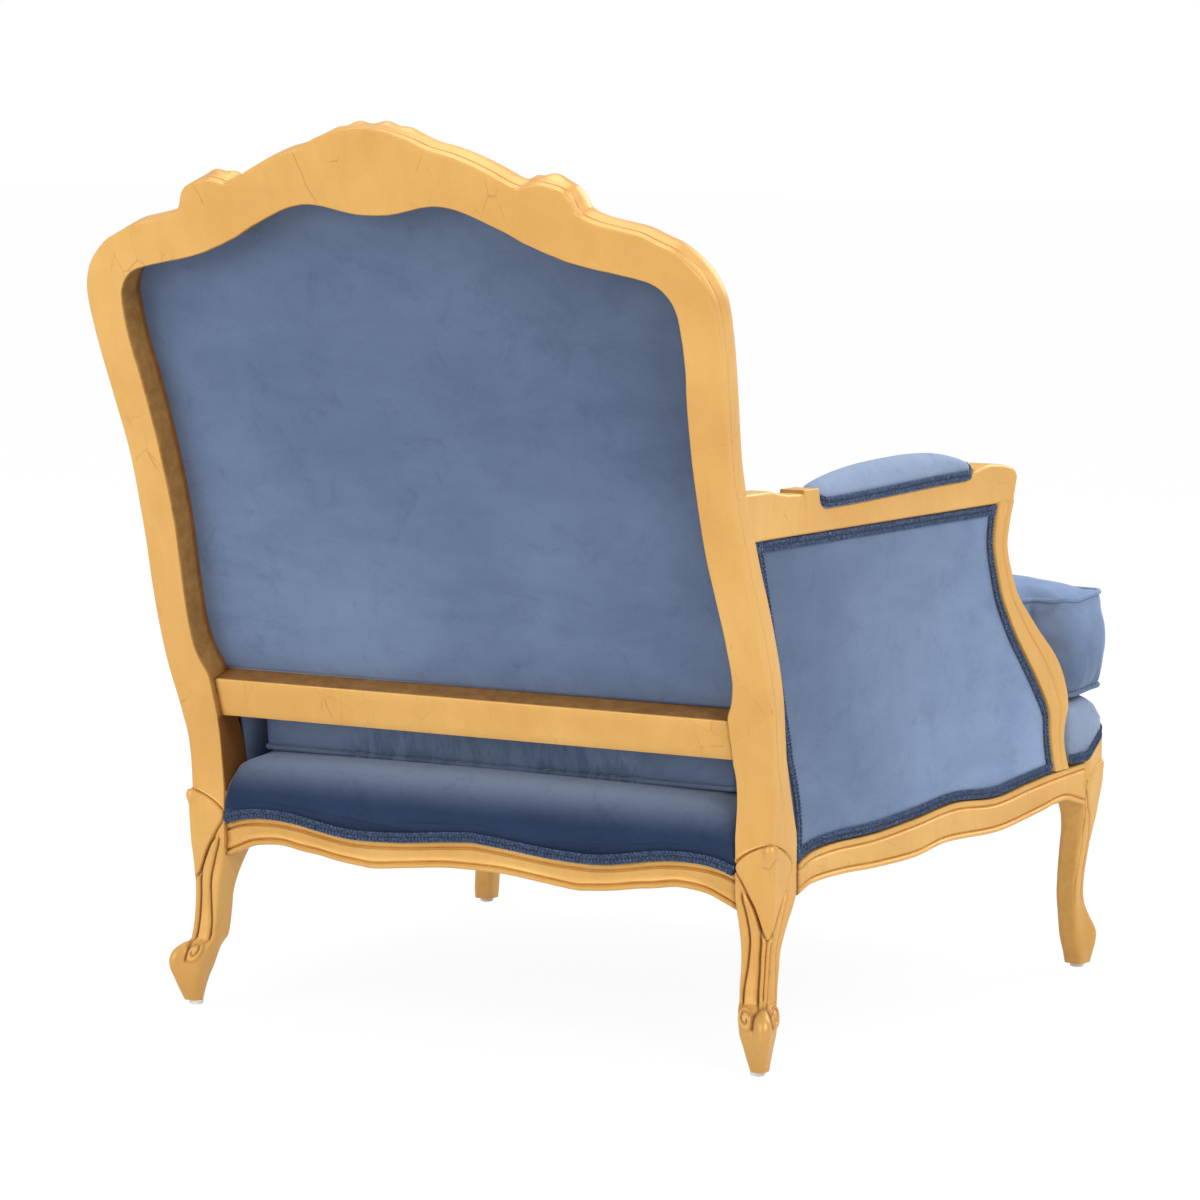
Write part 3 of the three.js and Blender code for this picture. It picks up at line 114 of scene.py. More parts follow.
# Meshes
def to_row(points):
    return np.asarray(points, float).reshape(-1, 3) * 0.001 + (0, SHIFT, 0)


def raw_mesh(name, points, faces, material, sharp=40, body="frame"):
    mesh = bpy.data.meshes.new(name)
    mesh.from_pydata(to_row(points).tolist(), [], faces)
    mesh.validate()
    mesh.polygons.foreach_set("use_smooth", [True] * len(mesh.polygons))
    if sharp:
        mesh.set_sharp_from_angle(angle=math.radians(sharp))
    mesh.materials.append(material)
    piece = bpy.data.objects.new(name, mesh)
    bpy.context.scene.collection.objects.link(piece)
    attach(piece, body)
    return piece


def ring_faces(count, size, closed, caps):
    r = np.arange(count if closed else count - 1)[:, None]
    p = np.arange(size)[None, :]
    n, q = (r + 1) % count, (p + 1) % size
    faces = np.stack(np.broadcast_arrays(r * size + p, r * size + q, n * size + q, n * size + p), -1)
    faces = faces.reshape(-1, 4).tolist()
    if caps and not closed:
        faces.append(list(range(size))[::-1])
        faces.append(list(range((count - 1) * size, count * size)))
    return faces


def ring_normals(rings, closed=False):
    along = np.roll(rings, -1, 0) - np.roll(rings, 1, 0)
    if not closed:
        along[0], along[-1] = rings[1] - rings[0], rings[-1] - rings[-2]
    around = np.roll(rings, -1, 1) - np.roll(rings, 1, 1)
    normals = np.cross(around, along)
    normals /= np.maximum(np.linalg.norm(normals, axis=2, keepdims=True), 1e-9)
    centre = rings.mean(1, keepdims=True)
    if ((rings - centre) * normals).sum() < 0:
        normals = -normals
    return normals


def volume_sign(points, faces):
    total = 0.0
    for f in faces[:: max(1, len(faces) // 4000)]:
        a, b, c = points[f[0]], points[f[1]], points[f[2]]
        total += np.dot(a, np.cross(b, c))
    return total


def hollows(points, rings_shape, closed):
    """How deep each vertex of a ring surface lies between its neighbours, in millimetres."""
    rings = points.reshape(rings_shape)
    normals = ring_normals(rings, closed)
    depth = np.zeros(rings.shape[:2])
    for step in (1, 2, 3):
        near = (np.roll(rings, step, 1) + np.roll(rings, -step, 1)) / 2 - rings
        span = np.linalg.norm(np.roll(rings, step, 1) - np.roll(rings, -step, 1), axis=2)
        depth = np.maximum(depth, (near * normals).sum(2) / np.maximum(span, 0.8) * 3.2)
    return depth.reshape(-1)


def solid(name, rings, material, closed=False, sharp=40, body="frame", glaze_and_shade=None, caps=True):
    rings = np.asarray(rings, float)
    points = rings.reshape(-1, 3)
    faces = ring_faces(rings.shape[0], rings.shape[1], closed, caps)
    centre = points.mean(0)
    if volume_sign(points - centre, faces) < 0:
        faces = [f[::-1] for f in faces]
    piece = raw_mesh(name, points, faces, material, sharp, body)
    # The attribute browns the hollows as glazing on the real gilt does; values given add to it, and at some places
    # these are painted shade.
    if glaze_and_shade is not None:
        values = 0.55 * np.clip(hollows(points, rings.shape, closed), 0, 1).reshape(rings.shape[:2])
        values = sum(np.roll(values, step, 0) for step in (-2, -1, 0, 1, 2)).reshape(-1) / 5
        values = np.clip(values + np.asarray(glaze_and_shade, float).reshape(-1), 0, 1) if np.ndim(glaze_and_shade) else values
        attribute = piece.data.attributes.new("glaze_and_shade", "FLOAT", "POINT")
        attribute.data.foreach_set("value", values.astype(np.float32))
    return piece


def mirrored(rings):
    return np.asarray(rings) * (-1, 1, 1)


SIDES = (("left", 1), ("right", -1))


# Materials
def new_material(name):
    material = bpy.data.materials.new(name)
    material.use_nodes = True
    nodes = material.node_tree.nodes
    nodes.clear()
    out = nodes.new("ShaderNodeOutputMaterial")
    shader = nodes.new("ShaderNodeBsdfPrincipled")
    material.node_tree.links.new(shader.outputs[0], out.inputs["Surface"])
    return material, shader


class Tree:
    """Short calls for the node kinds used below."""

    def __init__(self, material, shader):
        self.tree = material.node_tree
        self.shader = shader
        self.place = self.make("ShaderNodeTexCoord").outputs["Object"]

    def make(self, kind, **settings):
        node = self.tree.nodes.new(kind)
        for key, value in settings.items():
            setattr(node, key, value)
        return node

    def link(self, source, target):
        if isinstance(source, (int, float, tuple)):
            target.default_value = source
        else:
            self.tree.links.new(source, target)

    def scaled(self, factors, source=None):
        node = self.make("ShaderNodeMapping")
        self.link(source or self.place, node.inputs["Vector"])
        node.inputs["Scale"].default_value = factors
        return node.outputs[0]

    def noise(self, scale, detail=2.0, rough=0.5, source=None, distort=0.0, colour=False):
        node = self.make("ShaderNodeTexNoise")
        self.link(source or self.place, node.inputs["Vector"])
        node.inputs["Scale"].default_value = scale
        node.inputs["Detail"].default_value = detail
        node.inputs["Roughness"].default_value = rough
        node.inputs["Distortion"].default_value = distort
        return node.outputs["Color" if colour else "Fac"]

    def cells(self, scale, feature="DISTANCE_TO_EDGE", source=None, random=1.0):
        node = self.make("ShaderNodeTexVoronoi", feature=feature)
        self.link(source or self.place, node.inputs["Vector"])
        node.inputs["Scale"].default_value = scale
        node.inputs["Randomness"].default_value = random
        return node.outputs["Distance"] if feature == "DISTANCE_TO_EDGE" else node.outputs["Color"]

    def math(self, operation, a, b=0.0, clamp=False):
        node = self.make("ShaderNodeMath", operation=operation, use_clamp=clamp)
        self.link(a, node.inputs[0])
        self.link(b, node.inputs[1])
        return node.outputs[0]

    def ramp(self, source, low, high, start=0.0, end=1.0):
        node = self.make("ShaderNodeMapRange", interpolation_type="SMOOTHSTEP")
        self.link(source, node.inputs["Value"])
        for key, value in (("From Min", low), ("From Max", high), ("To Min", start), ("To Max", end)):
            node.inputs[key].default_value = value
        return node.outputs["Result"]

    def mix(self, share, a, b, blend="MIX"):
        node = self.make("ShaderNodeMix", data_type="RGBA", blend_type=blend)
        self.link(share, node.inputs[0])
        self.link(a, node.inputs[6])
        self.link(b, node.inputs[7])
        return node.outputs[2]

    def attribute(self, name):
        return self.make("ShaderNodeAttribute", attribute_name=name).outputs["Fac"]

    def bump(self, height, strength, distance, normal=None):
        node = self.make("ShaderNodeBump")
        self.link(height, node.inputs["Height"])
        node.inputs["Strength"].default_value = strength
        node.inputs["Distance"].default_value = distance
        if normal is not None:
            self.link(normal, node.inputs["Normal"])
        return node.outputs[0]

    def warped(self, scale, amount):
        """The place moved about by noise, so that lines through it wander."""
        shift = self.make("ShaderNodeVectorMath", operation="SCALE")
        centred = self.make("ShaderNodeVectorMath", operation="SUBTRACT")
        self.link(self.noise(scale, 3.0, colour=True), centred.inputs[0])
        centred.inputs[1].default_value = (0.5, 0.5, 0.5)
        self.link(centred.outputs[0], shift.inputs[0])
        shift.inputs["Scale"].default_value = amount
        total = self.make("ShaderNodeVectorMath", operation="ADD")
        self.link(self.place, total.inputs[0])
        self.link(shift.outputs[0], total.inputs[1])
        return total.outputs[0]


def srgb(r, g, b):
    return tuple((c / 255 / 12.92) if c / 255 <= 0.04045 else ((c / 255 + 0.055) / 1.055) ** 2.4
                 for c in (r, g, b)) + (1.0,)


def make_gilt(name="gilt"):
    """Gold leaf on gesso: patches of leaf, short hairline cracks, and brown glazing left in the hollows, with the same
    brown as painted shade where the pieces add it.
    """
    material, shader = new_material(name)
    t = Tree(material, shader)
    tone = t.mix(t.ramp(t.noise(5.5, 4.0, 0.6), 0.3, 0.7), srgb(220, 167, 87), srgb(232, 183, 103))
    streak = t.noise(9.0, 4.0, 0.65, source=t.scaled((6, 6, 1.1)))
    tone = t.mix(t.ramp(streak, 0.35, 0.75, 0.0, 0.25), tone, srgb(212, 154, 72))
    leaf = t.make("ShaderNodeSeparateColor")
    t.link(t.cells(12.5, "F1", t.warped(6.0, 0.012), 0.55), leaf.inputs[0])
    tone = t.mix(t.math("MULTIPLY", leaf.outputs[0], 0.1), tone, srgb(200, 140, 64))
    laps = t.math("MULTIPLY", t.ramp(t.cells(12.5, source=t.warped(6.0, 0.012), random=0.55), 0.002, 0.008, 1, 0),
                  t.ramp(t.noise(14.0, 3.0), 0.52, 0.62, 0.0, 0.5))
    grain = t.scaled((1, 1, 0.3), t.warped(14.0, 0.012))
    cracks = t.math("MULTIPLY", t.ramp(t.cells(30.0, source=grain), 0.003, 0.015, 1, 0),
                    t.ramp(t.noise(15.0, 4.0, 0.6), 0.55, 0.65))
    lines = t.math("MAXIMUM", laps, cracks)
    tone = t.mix(t.math("MULTIPLY", lines, 0.34), tone, srgb(140, 92, 44))
    stains = t.ramp(t.noise(8.0, 7.0, 0.72), 0.57, 0.74)
    tone = t.mix(t.math("MULTIPLY", stains, 0.26), tone, srgb(190, 136, 70))
    specks = t.ramp(t.noise(420.0, 2.0, 0.7), 0.69, 0.76)
    tone = t.mix(t.math("MULTIPLY", specks, 0.22), tone, srgb(130, 80, 36))
    height = t.make("ShaderNodeSeparateXYZ")
    t.link(t.place, height.inputs[0])
    tone = t.mix(t.ramp(height.outputs["Z"], 0.0, 0.13, 0.55, 0.0), tone, srgb(192, 138, 62))
    glaze_and_shade = t.math("ADD", t.attribute("glaze_and_shade"), t.math("MULTIPLY", t.math(
        "SUBTRACT", t.noise(70.0, 4.0, 0.65), 0.5), 0.5))
    # Brown from the attribute: glazing in the hollows, and painted shade on some recessed and shaded faces.
    tone = t.mix(t.ramp(glaze_and_shade, 0.1, 0.95, 0.0, 0.9), tone, srgb(118, 66, 24))
    t.link(tone, shader.inputs["Base Color"])
    shader.inputs["Metallic"].default_value = 0.3
    t.link(t.math("ADD", t.ramp(t.noise(22.0, 4.0), 0.3, 0.7, 0.34, 0.48), t.math("MULTIPLY", glaze_and_shade, 0.18)),
           shader.inputs["Roughness"])
    fine = t.bump(t.noise(260.0, 4.0, 0.6), 0.1, 0.0006)
    gesso = t.bump(t.noise(32.0, 3.0), 0.16, 0.0014, fine)
    t.link(t.bump(t.math("SUBTRACT", 1.0, lines), 0.2, 0.0004, gesso), shader.inputs["Normal"])
    return material


def make_velvet(name, deep, pale, turn=(0, 0, 0), level=0.0, gain=(0.45, 1.7), far=None, puckers=0.0):
    """Velvet: a short pile brushed into soft lighter and darker clouds, with a pale sheen at its edges.
    turn and level paint light and shade across the piece: the tone grows lighter or darker along a direction, by gain
    or towards the tone far; puckers are small upright folds, bumped, and darkened with painted shade."""
    material, shader = new_material(name)
    t = Tree(material, shader)
    clouds = t.noise(3.4, 4.0, 0.55, distort=0.4)
    strokes = t.noise(7.0, 5.0, 0.7, source=t.scaled((1, 1, 2.6)), distort=0.6)
    share = t.math("ADD", t.math("MULTIPLY", clouds, 0.65), t.math("MULTIPLY", strokes, 0.35))
    tone = t.mix(t.ramp(share, 0.3, 0.7), srgb(*deep), srgb(*pale))
    # Painted light and shade: the tone grows lighter or darker along the direction turn, or is drawn towards the tone
    # far.
    drift = t.make("ShaderNodeVectorMath", operation="DOT_PRODUCT")
    t.link(t.place, drift.inputs[0])
    drift.inputs[1].default_value = turn
    across = t.math("ADD", drift.outputs["Value"], level)
    if far:
        tone = t.mix(t.ramp(across, -1.0, 1.0), tone, srgb(*far))
    else:
        tone = t.mix(1.0, tone, t.ramp(across, -1.0, 1.0, *gain), "MULTIPLY")
    # Painted shade: the tone darkens along noise creases.
    creases = t.ramp(t.noise(24.0, 6.0, 0.75, distort=0.8), 0.5, 0.7)
    tone = t.mix(t.math("MULTIPLY", creases, 0.2), tone, srgb(*[c * 0.74 for c in deep]))
    pile = t.noise(1500.0, 2.0, 0.7)
    tone = t.mix(t.ramp(pile, 0.35, 0.7, 0.0, 0.22), tone, srgb(*[c * 0.66 for c in deep]))
    tone = t.mix(t.ramp(t.noise(900.0, 2.0), 0.62, 0.72, 0.0, 0.18), tone, srgb(*[min(255, c * 1.25) for c in pale]))
    if puckers:
        height = t.make("ShaderNodeSeparateXYZ")
        t.link(t.place, height.inputs[0])
        shown = t.math("MULTIPLY", t.ramp(t.noise(6.0, 2.0), 0.4, 0.56), t.ramp(height.outputs["Z"], 0.42, 0.39))
        upright = t.scaled((1, 1, 0.09), t.warped(7.0, 0.02))
        folds = t.math("MULTIPLY", t.ramp(t.noise(70.0, 2.0, 0.5, source=upright), 0.42, 0.6), shown)
        # Painted shade in the folds of the puckers.
        tone = t.mix(t.math("MULTIPLY", folds, 0.45), tone, srgb(*[c * 0.72 for c in deep]))
    t.link(tone, shader.inputs["Base Color"])
    shader.inputs["Roughness"].default_value = 0.9
    shader.inputs["Specular IOR Level"].default_value = 0.1
    shader.inputs["Sheen Weight"].default_value = 0.8
    shader.inputs["Sheen Roughness"].default_value = 0.3
    shader.inputs["Sheen Tint"].default_value = srgb(196, 208, 230)
    nap = t.bump(pile, 0.2, 0.0006)
    relief = t.bump(t.noise(48.0, 5.0, 0.6), 0.12, 0.002, nap)
    if puckers:
        relief = t.bump(t.math("SUBTRACT", 1.0, folds), puckers, 0.003, relief)
    t.link(relief, shader.inputs["Normal"])
    return material


def make_braid(name):
    """Woven gimp of two blue yarns."""
    material, shader = new_material(name)
    t = Tree(material, shader)
    yarn = t.noise(430.0, 3.0, 0.7)
    tone = t.mix(t.ramp(yarn, 0.4, 0.6), srgb(22, 39, 70), srgb(68, 96, 138))
    tone = t.mix(t.ramp(t.noise(300.0, 2.0), 0.6, 0.68, 0, 0.6), tone, srgb(112, 138, 174))
    # Painted shade: dark blue where the attribute marks the braid's dip and edges.
    tone = t.mix(t.math("MULTIPLY", t.attribute("glaze_and_shade"), 0.9), tone, srgb(15, 22, 38))
    t.link(tone, shader.inputs["Base Color"])
    shader.inputs["Roughness"].default_value = 0.7
    shader.inputs["Sheen Weight"].default_value = 0.25
    shader.inputs["Sheen Roughness"].default_value = 0.4
    t.link(t.bump(yarn, 0.6, 0.0008), shader.inputs["Normal"])
    return material


def make_plain(name, low, high, scale, rough, weave=0.0, bump=0.3, metallic=0.0):
    """A matt material with two tones, and with a plain weave where weave is its threads per metre."""
    material, shader = new_material(name)
    t = Tree(material, shader)
    share = t.ramp(t.noise(scale, 5.0, 0.6), 0.3, 0.7)
    tone = t.mix(share, srgb(*low), srgb(*high))
    height = t.noise(scale * 8, 3.0)
    if weave:
        parts = t.make("ShaderNodeSeparateXYZ")
        t.link(t.place, parts.inputs[0])
        a = t.math("SINE", t.math("MULTIPLY", parts.outputs["X"], weave * 2 * math.pi))
        b = t.math("SINE", t.math("MULTIPLY", parts.outputs["Y"], weave * 2 * math.pi))
        height = t.math("MULTIPLY", a, b)
        # Painted shade between the threads: the low places of the weave are darkened.
        tone = t.mix(t.ramp(height, -0.6, 0.6, 0.45, 0.0), tone, srgb(*[c * 0.5 for c in low]))
    t.link(tone, shader.inputs["Base Color"])
    shader.inputs["Roughness"].default_value = rough
    shader.inputs["Metallic"].default_value = metallic
    t.link(t.bump(height, bump, 0.0008), shader.inputs["Normal"])
    return material


gilt = make_gilt()
# One velvet in lit and shaded copies: each piece's base tones are painted light and shade, the arm pads lighter as lit
# from above and the deck darker as shaded; each drift paints light and shade across its piece, pale towards the deck's
# top and front and darker low on the cushion.
velvet_back = make_velvet("velvet_back", (88, 104, 132), (108, 125, 153), (0.5, 0, -0.7), 0.47)
velvet_side = make_velvet("velvet_side", (102, 119, 148), (122, 139, 168), (0, -1.2, -0.7), 0.35)
velvet_arm = make_velvet("velvet_arm", (130, 147, 174), (150, 166, 192))
velvet_deck = make_velvet("velvet_deck", (38, 52, 80), (50, 66, 95), (0, -2.2, 28), -7.5, far=(146, 161, 187))
velvet_cushion = make_velvet("velvet_cushion", (92, 110, 139), (114, 132, 161), (0, 0, 12), -5.16, (0.9, 1.6),
                             puckers=0.6)
braid = make_braid("gimp_braid")
jute = make_plain("jute", (150, 122, 78), (186, 158, 110), 30.0, 0.95, 420.0, 0.7)
cambric = make_plain("cambric", (34, 34, 37), (48, 48, 52), 40.0, 0.9, 900.0, 0.5)
beech = make_plain("beech", (184, 142, 92), (208, 170, 120), 16.0, 0.7)
nylon = make_plain("nylon", (228, 228, 224), (244, 244, 240), 50.0, 0.4, bump=0.05)

# The back frame
HEIGHT, BACK_HALF, SHOULDER = 1040, 410, 828
DEPTH, SLOPE, BEND_START, BEND_LENGTH = 44, math.tan(math.radians(17.46)), 275.5, 90
INSET = 10


def face_slope(z):
    return SLOPE * np.clip((z - BEND_START) / BEND_LENGTH, 0, 1)


def face_y(z):
    rise = np.clip(z - BEND_START, 0, BEND_LENGTH)
    return -INSET + SLOPE * rise ** 2 / (2 * BEND_LENGTH) + SLOPE * np.maximum(z - BEND_START - BEND_LENGTH, 0)


def back_point(x, z, depth):
    x, z, depth = np.broadcast_arrays(np.asarray(x, float), np.asarray(z, float), np.asarray(depth, float))
    lean = face_slope(z)
    length = np.hypot(1, lean)
    return np.stack([x, face_y(z) - depth / length, z + depth * lean / length], -1)


POST_OUTER = [
    [0, 0.95], [0.065, 0.95], [0.146, 0.9585], [0.228, 0.9707], [0.307, 0.983], [0.389, 0.985],
    [0.47, 0.98], [0.55, 0.971], [0.63, 0.966], [0.688, 0.9634], [0.749, 0.966], [0.84, 0.98],
    [0.9385, 0.995], [1, 1]]
POST_INNER = [
    [0, 0.843], [0.277, 0.843], [0.314, 0.8634], [0.354, 0.8756], [0.435, 0.873], [0.515, 0.8634],
    [0.595, 0.8545], [0.729, 0.8555], [0.812, 0.862], [0.882, 0.871], [0.922, 0.879], [0.965, 0.883], [1, 0.883]]
CREST_OUTER = [
    [0, 1], [0.066, 0.986], [0.141, 0.94], [0.2, 0.89], [0.261, 0.859], [0.317, 0.821], [0.378, 0.769],
    [0.43, 0.716], [0.463, 0.696], [0.488, 0.708], [0.517, 0.719], [0.549, 0.71], [0.59, 0.684],
    [0.612, 0.642], [0.632, 0.565], [0.68, 0.524], [0.74, 0.498], [0.8, 0.473], [0.85, 0.43],
    [0.895, 0.391], [0.937, 0.327], [0.968, 0.259], [0.988, 0.182], [0.998, 0.105], [1, 0]]
CREST_INNER = [
    [0, 0.542], [0.054, 0.547], [0.105, 0.565], [0.155, 0.586], [0.207, 0.594], [0.262, 0.578],
    [0.317, 0.541], [0.366, 0.5], [0.405, 0.467], [0.451, 0.42], [0.481, 0.396], [0.51, 0.373],
    [0.545, 0.349], [0.573, 0.33], [0.61, 0.312], [0.654, 0.293], [0.7, 0.278], [0.739, 0.264],
    [0.776, 0.25], [0.812, 0.232], [0.839, 0.205], [0.859, 0.167], [0.873, 0.122], [0.881, 0.065], [0.883, 0]]


def post_outer(z):
    return BACK_HALF * follow(POST_OUTER, (np.asarray(z, float) - 226) / (SHOULDER - 226))


def post_inner(z):
    return BACK_HALF * follow(POST_INNER, (np.asarray(z, float) - 226) / (SHOULDER - 226))


def crest_curve(table, count):
    t = np.asarray(table)
    return spline(np.stack([BACK_HALF * t[:, 0], SHOULDER + (HEIGHT - SHOULDER) * t[:, 1]], -1), count)


def run(*corners, step=1.2):
    """Points along straight lines between corners, the first corner kept and the last left out."""
    out = []
    for a, b in zip(corners[:-1], corners[1:]):
        count = max(1, int(math.hypot(b[0] - a[0], b[1] - a[1]) / step))
        out += [(lerp(a[0], b[0], i / count), lerp(a[1], b[1], i / count)) for i in range(count)]
    return out


def arc(cx, cy, rx, ry, start, end, count):
    return [(cx + rx * math.cos(lerp(start, end, i / count)), cy + ry * math.sin(lerp(start, end, i / count)))
            for i in range(count)]


HALF_PI = math.pi / 2


def frame_profile():
    """Section of the back frame as rows: (from outer edge, from inner edge, depth, side). The first
    of the two offsets that is not None places the point."""
    outer = arc(2, 2, 2, 2, -HALF_PI, -math.pi, 4)
    outer += run((0, 2), (0, 9.6)) + [(0, 9.6), (0.9, 10.4), (1.5, 11), (0.9, 11.6)] + run((0, 12.4), (0, 24))
    front = arc(13, 24, 13, 20, math.pi, HALF_PI, 10) + run((13, 44), (20, 44), step=2.5)
    front += [(20.0, 44.0), (20.6, 43.2), (21.2, 40.4)]
    inner = [(-21.5, 39.4), (-20.4, 40.2), (-19.6, 41.6)] + arc(-16.5, 40.6, 2.6, 2.6, 2.8, 0.4, 6)
    inner += [(-14, 40.8), (-14, 36.7), (-10, 36.7), (-5, 36.7)]
    wall = run((0, 36.7), (0, 2), step=4.0) + arc(-2, 2, 2, 2, 0, -HALF_PI, 4)
    rows = [(a, None, d, 0) for a, d in outer] + [(a, None, d, 1) for a, d in front]
    rows += [(None, -a, d, 1) for a, d in inner] + [(None, -a, d, 2) for a, d in wall]
    rows += [(None, 2, 0, 3)] + [(("share", s), None, 0, 3) for s in np.linspace(0.06, 0.94, 9)[::-1]]
    return rows


PROFILE = frame_profile()


def frame_sections(outer, inner, scoop=0.0):
    """Rings of the back frame between outer and inner edge points, each N x 2 of (x, z)."""
    width = np.linalg.norm(inner - outer, axis=1)
    across = (inner - outer) / width[:, None]
    scoop = np.broadcast_to(scoop, width.shape)
    rings = []
    for outside, inside, depth, _ in PROFILE:
        if isinstance(outside, tuple):
            offset = 2 + (width - 4) * outside[1]
        else:
            offset = np.full_like(width, outside) if outside is not None else width - inside
        drop = scoop * depth / DEPTH * np.clip(1 - offset / 20, 0, 1)
        place = outer + across * offset[:, None]
        rings.append(back_point(place[:, 0], place[:, 1] - drop, depth))
    return np.stack(rings, 1)


SIDE_OF = np.array([row[3] for row in PROFILE])
DEPTH_OF = np.array([row[2] for row in PROFILE])


def block_section(cx, cy, width, depth, rounding, z):
    """A rounded rectangle whose points match the frame profile's, at each of several heights."""
    rings = []
    counts = [int((SIDE_OF == s).sum()) for s in range(4)]
    for k, s in enumerate(SIDE_OF):
        f = (k - int((SIDE_OF < s).sum())) / counts[s]
        u, v = [(0, f), (f, 1), (1, 1 - f), (1 - f, 0)][s]
        x, y = width * (0.5 - u), depth * (0.5 - v)
        core_x = np.clip(x, -width / 2 + rounding, width / 2 - rounding)
        core_y = np.clip(y, -depth / 2 + rounding, depth / 2 - rounding)
        dx, dy = x - core_x, y - core_y
        length = np.maximum(np.hypot(dx, dy), 1e-9)
        keep = np.where(length > 1e-6, rounding / length, 0)
        rings.append(np.stack([cx + core_x + dx * keep, cy + core_y + dy * keep, z], -1))
    return np.stack(rings, 1)


BLOCK_W, BLOCK_D, BLOCK_TOP, BLOCK_FADE = 46, 61, 262, 80


def brown_and_shade_inside(rings, strength=0.6):
    """Extra brown on the inner wall of the back frame: brown glazing, and painted shade that is darker further into the
    recess.
    """
    extra = np.zeros(rings.shape[:2])
    extra[:, SIDE_OF == 2] = strength
    extra[:, (SIDE_OF == 2) & (DEPTH_OF > 30)] = strength + 0.25
    return extra


def post_front(z):
    return face_y(z) - DEPTH * np.hypot(1, face_slope(z))


def post_fade(z):
    return np.clip((z - BLOCK_TOP) / BLOCK_FADE, 0, 1)


def post_reach(z):
    """Depth of a post's front face in front of the rear glides' centres."""
    return lerp(INSET + BLOCK_D, -post_front(z), post_fade(z))


def make_post(word, side):
    z = np.concatenate([np.linspace(BLOCK_TOP - 6, 360, 40), np.linspace(362.5, SHOULDER, 190)])
    rings = frame_sections(np.stack([post_outer(z), z], 1), np.stack([post_inner(z), z], 1))
    block = block_section(post_outer(z) - BLOCK_W / 2, -(INSET + BLOCK_D / 2) + 0 * z, BLOCK_W + 0 * z,
                          BLOCK_D + 0 * z, 1.8 + 0 * z, z)
    rings = lerp(block, rings, post_fade(z)[:, None, None])
    # Painted shade: more brown on the inner wall low down, below the lower back rail.
    low = 0.5 * smooth(350, 335, z)[:, None] * (SIDE_OF == 2)
    return solid(f"post_{word}", rings if side > 0 else mirrored(rings), gilt, sharp=58, glaze_and_shade=brown_and_shade_inside(rings) + low)


# Small carved lobes on the front edge of the crest: place across, width and height of each
CREST_LOBES = [(x * s, w, h) for x, w, h in ((18, 11, 4.5), (46, 11, 3), (196, 9, 4), (222, 10, 4))
               for s in (-1, 1)]


def row_offset(row):
    return row[0] if isinstance(row[0], float) or isinstance(row[0], int) else 99


def make_crest():
    outer, inner = crest_curve(CREST_OUTER, 260), crest_curve(CREST_INNER, 260)
    scoop = 8 * (1 - smooth(0, 100, outer[:, 0]))
    half = frame_sections(outer, inner, scoop)[::-1]
    rings = np.concatenate([half, mirrored(half[:-1][::-1])])
    ahead = smooth(20, 34, DEPTH_OF) * (SIDE_OF < 2) * smooth(16, 8, np.array([row_offset(r) for r in PROFILE]))
    lobes = sum(height * np.exp(-((rings[:, :, 0] - x) / width) ** 2) for x, width, height in CREST_LOBES)
    rings[:, :, 2] += lobes * ahead
    piece = solid("crest", rings, gilt, sharp=58, glaze_and_shade=brown_and_shade_inside(rings))
    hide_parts("crest_rail")


# Legs
REAR_LEG = [
    [0, 0.42, 0.32, 0.38, -0.2, -0.01, 0.15], [0.03, 0.48, 0.37, 0.36, -0.18, -0.02, 0.35],
    [0.065, 0.56, 0.43, 0.34, -0.14, -0.03, 0.5], [0.11, 0.66, 0.5, 0.32, -0.08, -0.02, 0.65],
    [0.15, 0.75, 0.58, 0.3, 0.02, 0.01, 0.85], [0.185, 0.79, 0.62, 0.3, 0.12, 0.06, 1],
    [0.22, 0.79, 0.62, 0.28, 0.26, 0.12, 0.85], [0.25, 0.77, 0.6, 0.24, 0.42, 0.2, 0.55],
    [0.27, 0.75, 0.58, 0.2, 0.56, 0.3, 0.3], [0.29, 0.72, 0.56, 0.16, 0.72, 0.42, 0],
    [0.35, 0.71, 0.55, 0.12, 0.82, 0.5, 0], [0.42, 0.71, 0.56, 0.12, 0.83, 0.58, 0],
    [0.49, 0.72, 0.58, 0.12, 0.84, 0.63, 0], [0.56, 0.79, 0.66, 0.11, 0.86, 0.72, 0],
    [0.62, 0.88, 0.76, 0.1, 0.91, 0.82, 0], [0.68, 0.96, 0.9, 0.08, 0.97, 0.93, 0],
    [0.735, 1, 1, 0.06, 1, 1, 0], [0.8, 1, 1, 0.05, 1, 1, 0], [1, 1, 1, 0.04, 1, 1, 0]]
FRONT_LEG = [
    [0, 0.56, 0.3, 0, 0.05, 0], [0.05, 0.58, 0.28, -0.03, 0.35, 0], [0.1, 0.58, 0.26, -0.09, 0.8, 0],
    [0.145, 0.58, 0.25, -0.135, 1, 0], [0.187, 0.58, 0.24, -0.155, 0.85, 0],
    [0.22, 0.575, 0.22, -0.17, 0.55, 0], [0.262, 0.57, 0.2, -0.185, 0.22, 0],
    [0.31, 0.565, 0.18, -0.21, 0, 0], [0.36, 0.56, 0.18, -0.22, 0, 0], [0.435, 0.57, 0.18, -0.2, 0, 0],
    [0.52, 0.6, 0.18, -0.15, 0, 0.05], [0.6, 0.635, 0.18, -0.09, 0, 0.12], [0.66, 0.67, 0.18, -0.04, 0, 0.25],
    [0.725, 0.74, 0.18, 0, 0, 0.45], [0.78, 0.82, 0.18, 0, 0, 0.7], [0.84, 0.92, 0.19, 0, 0, 0.9],
    [0.9, 1, 0.2, 0, 0, 1], [1, 1, 0.2, 0, 0, 1]]
FOOT = 5.3
FACE_POINTS = 42


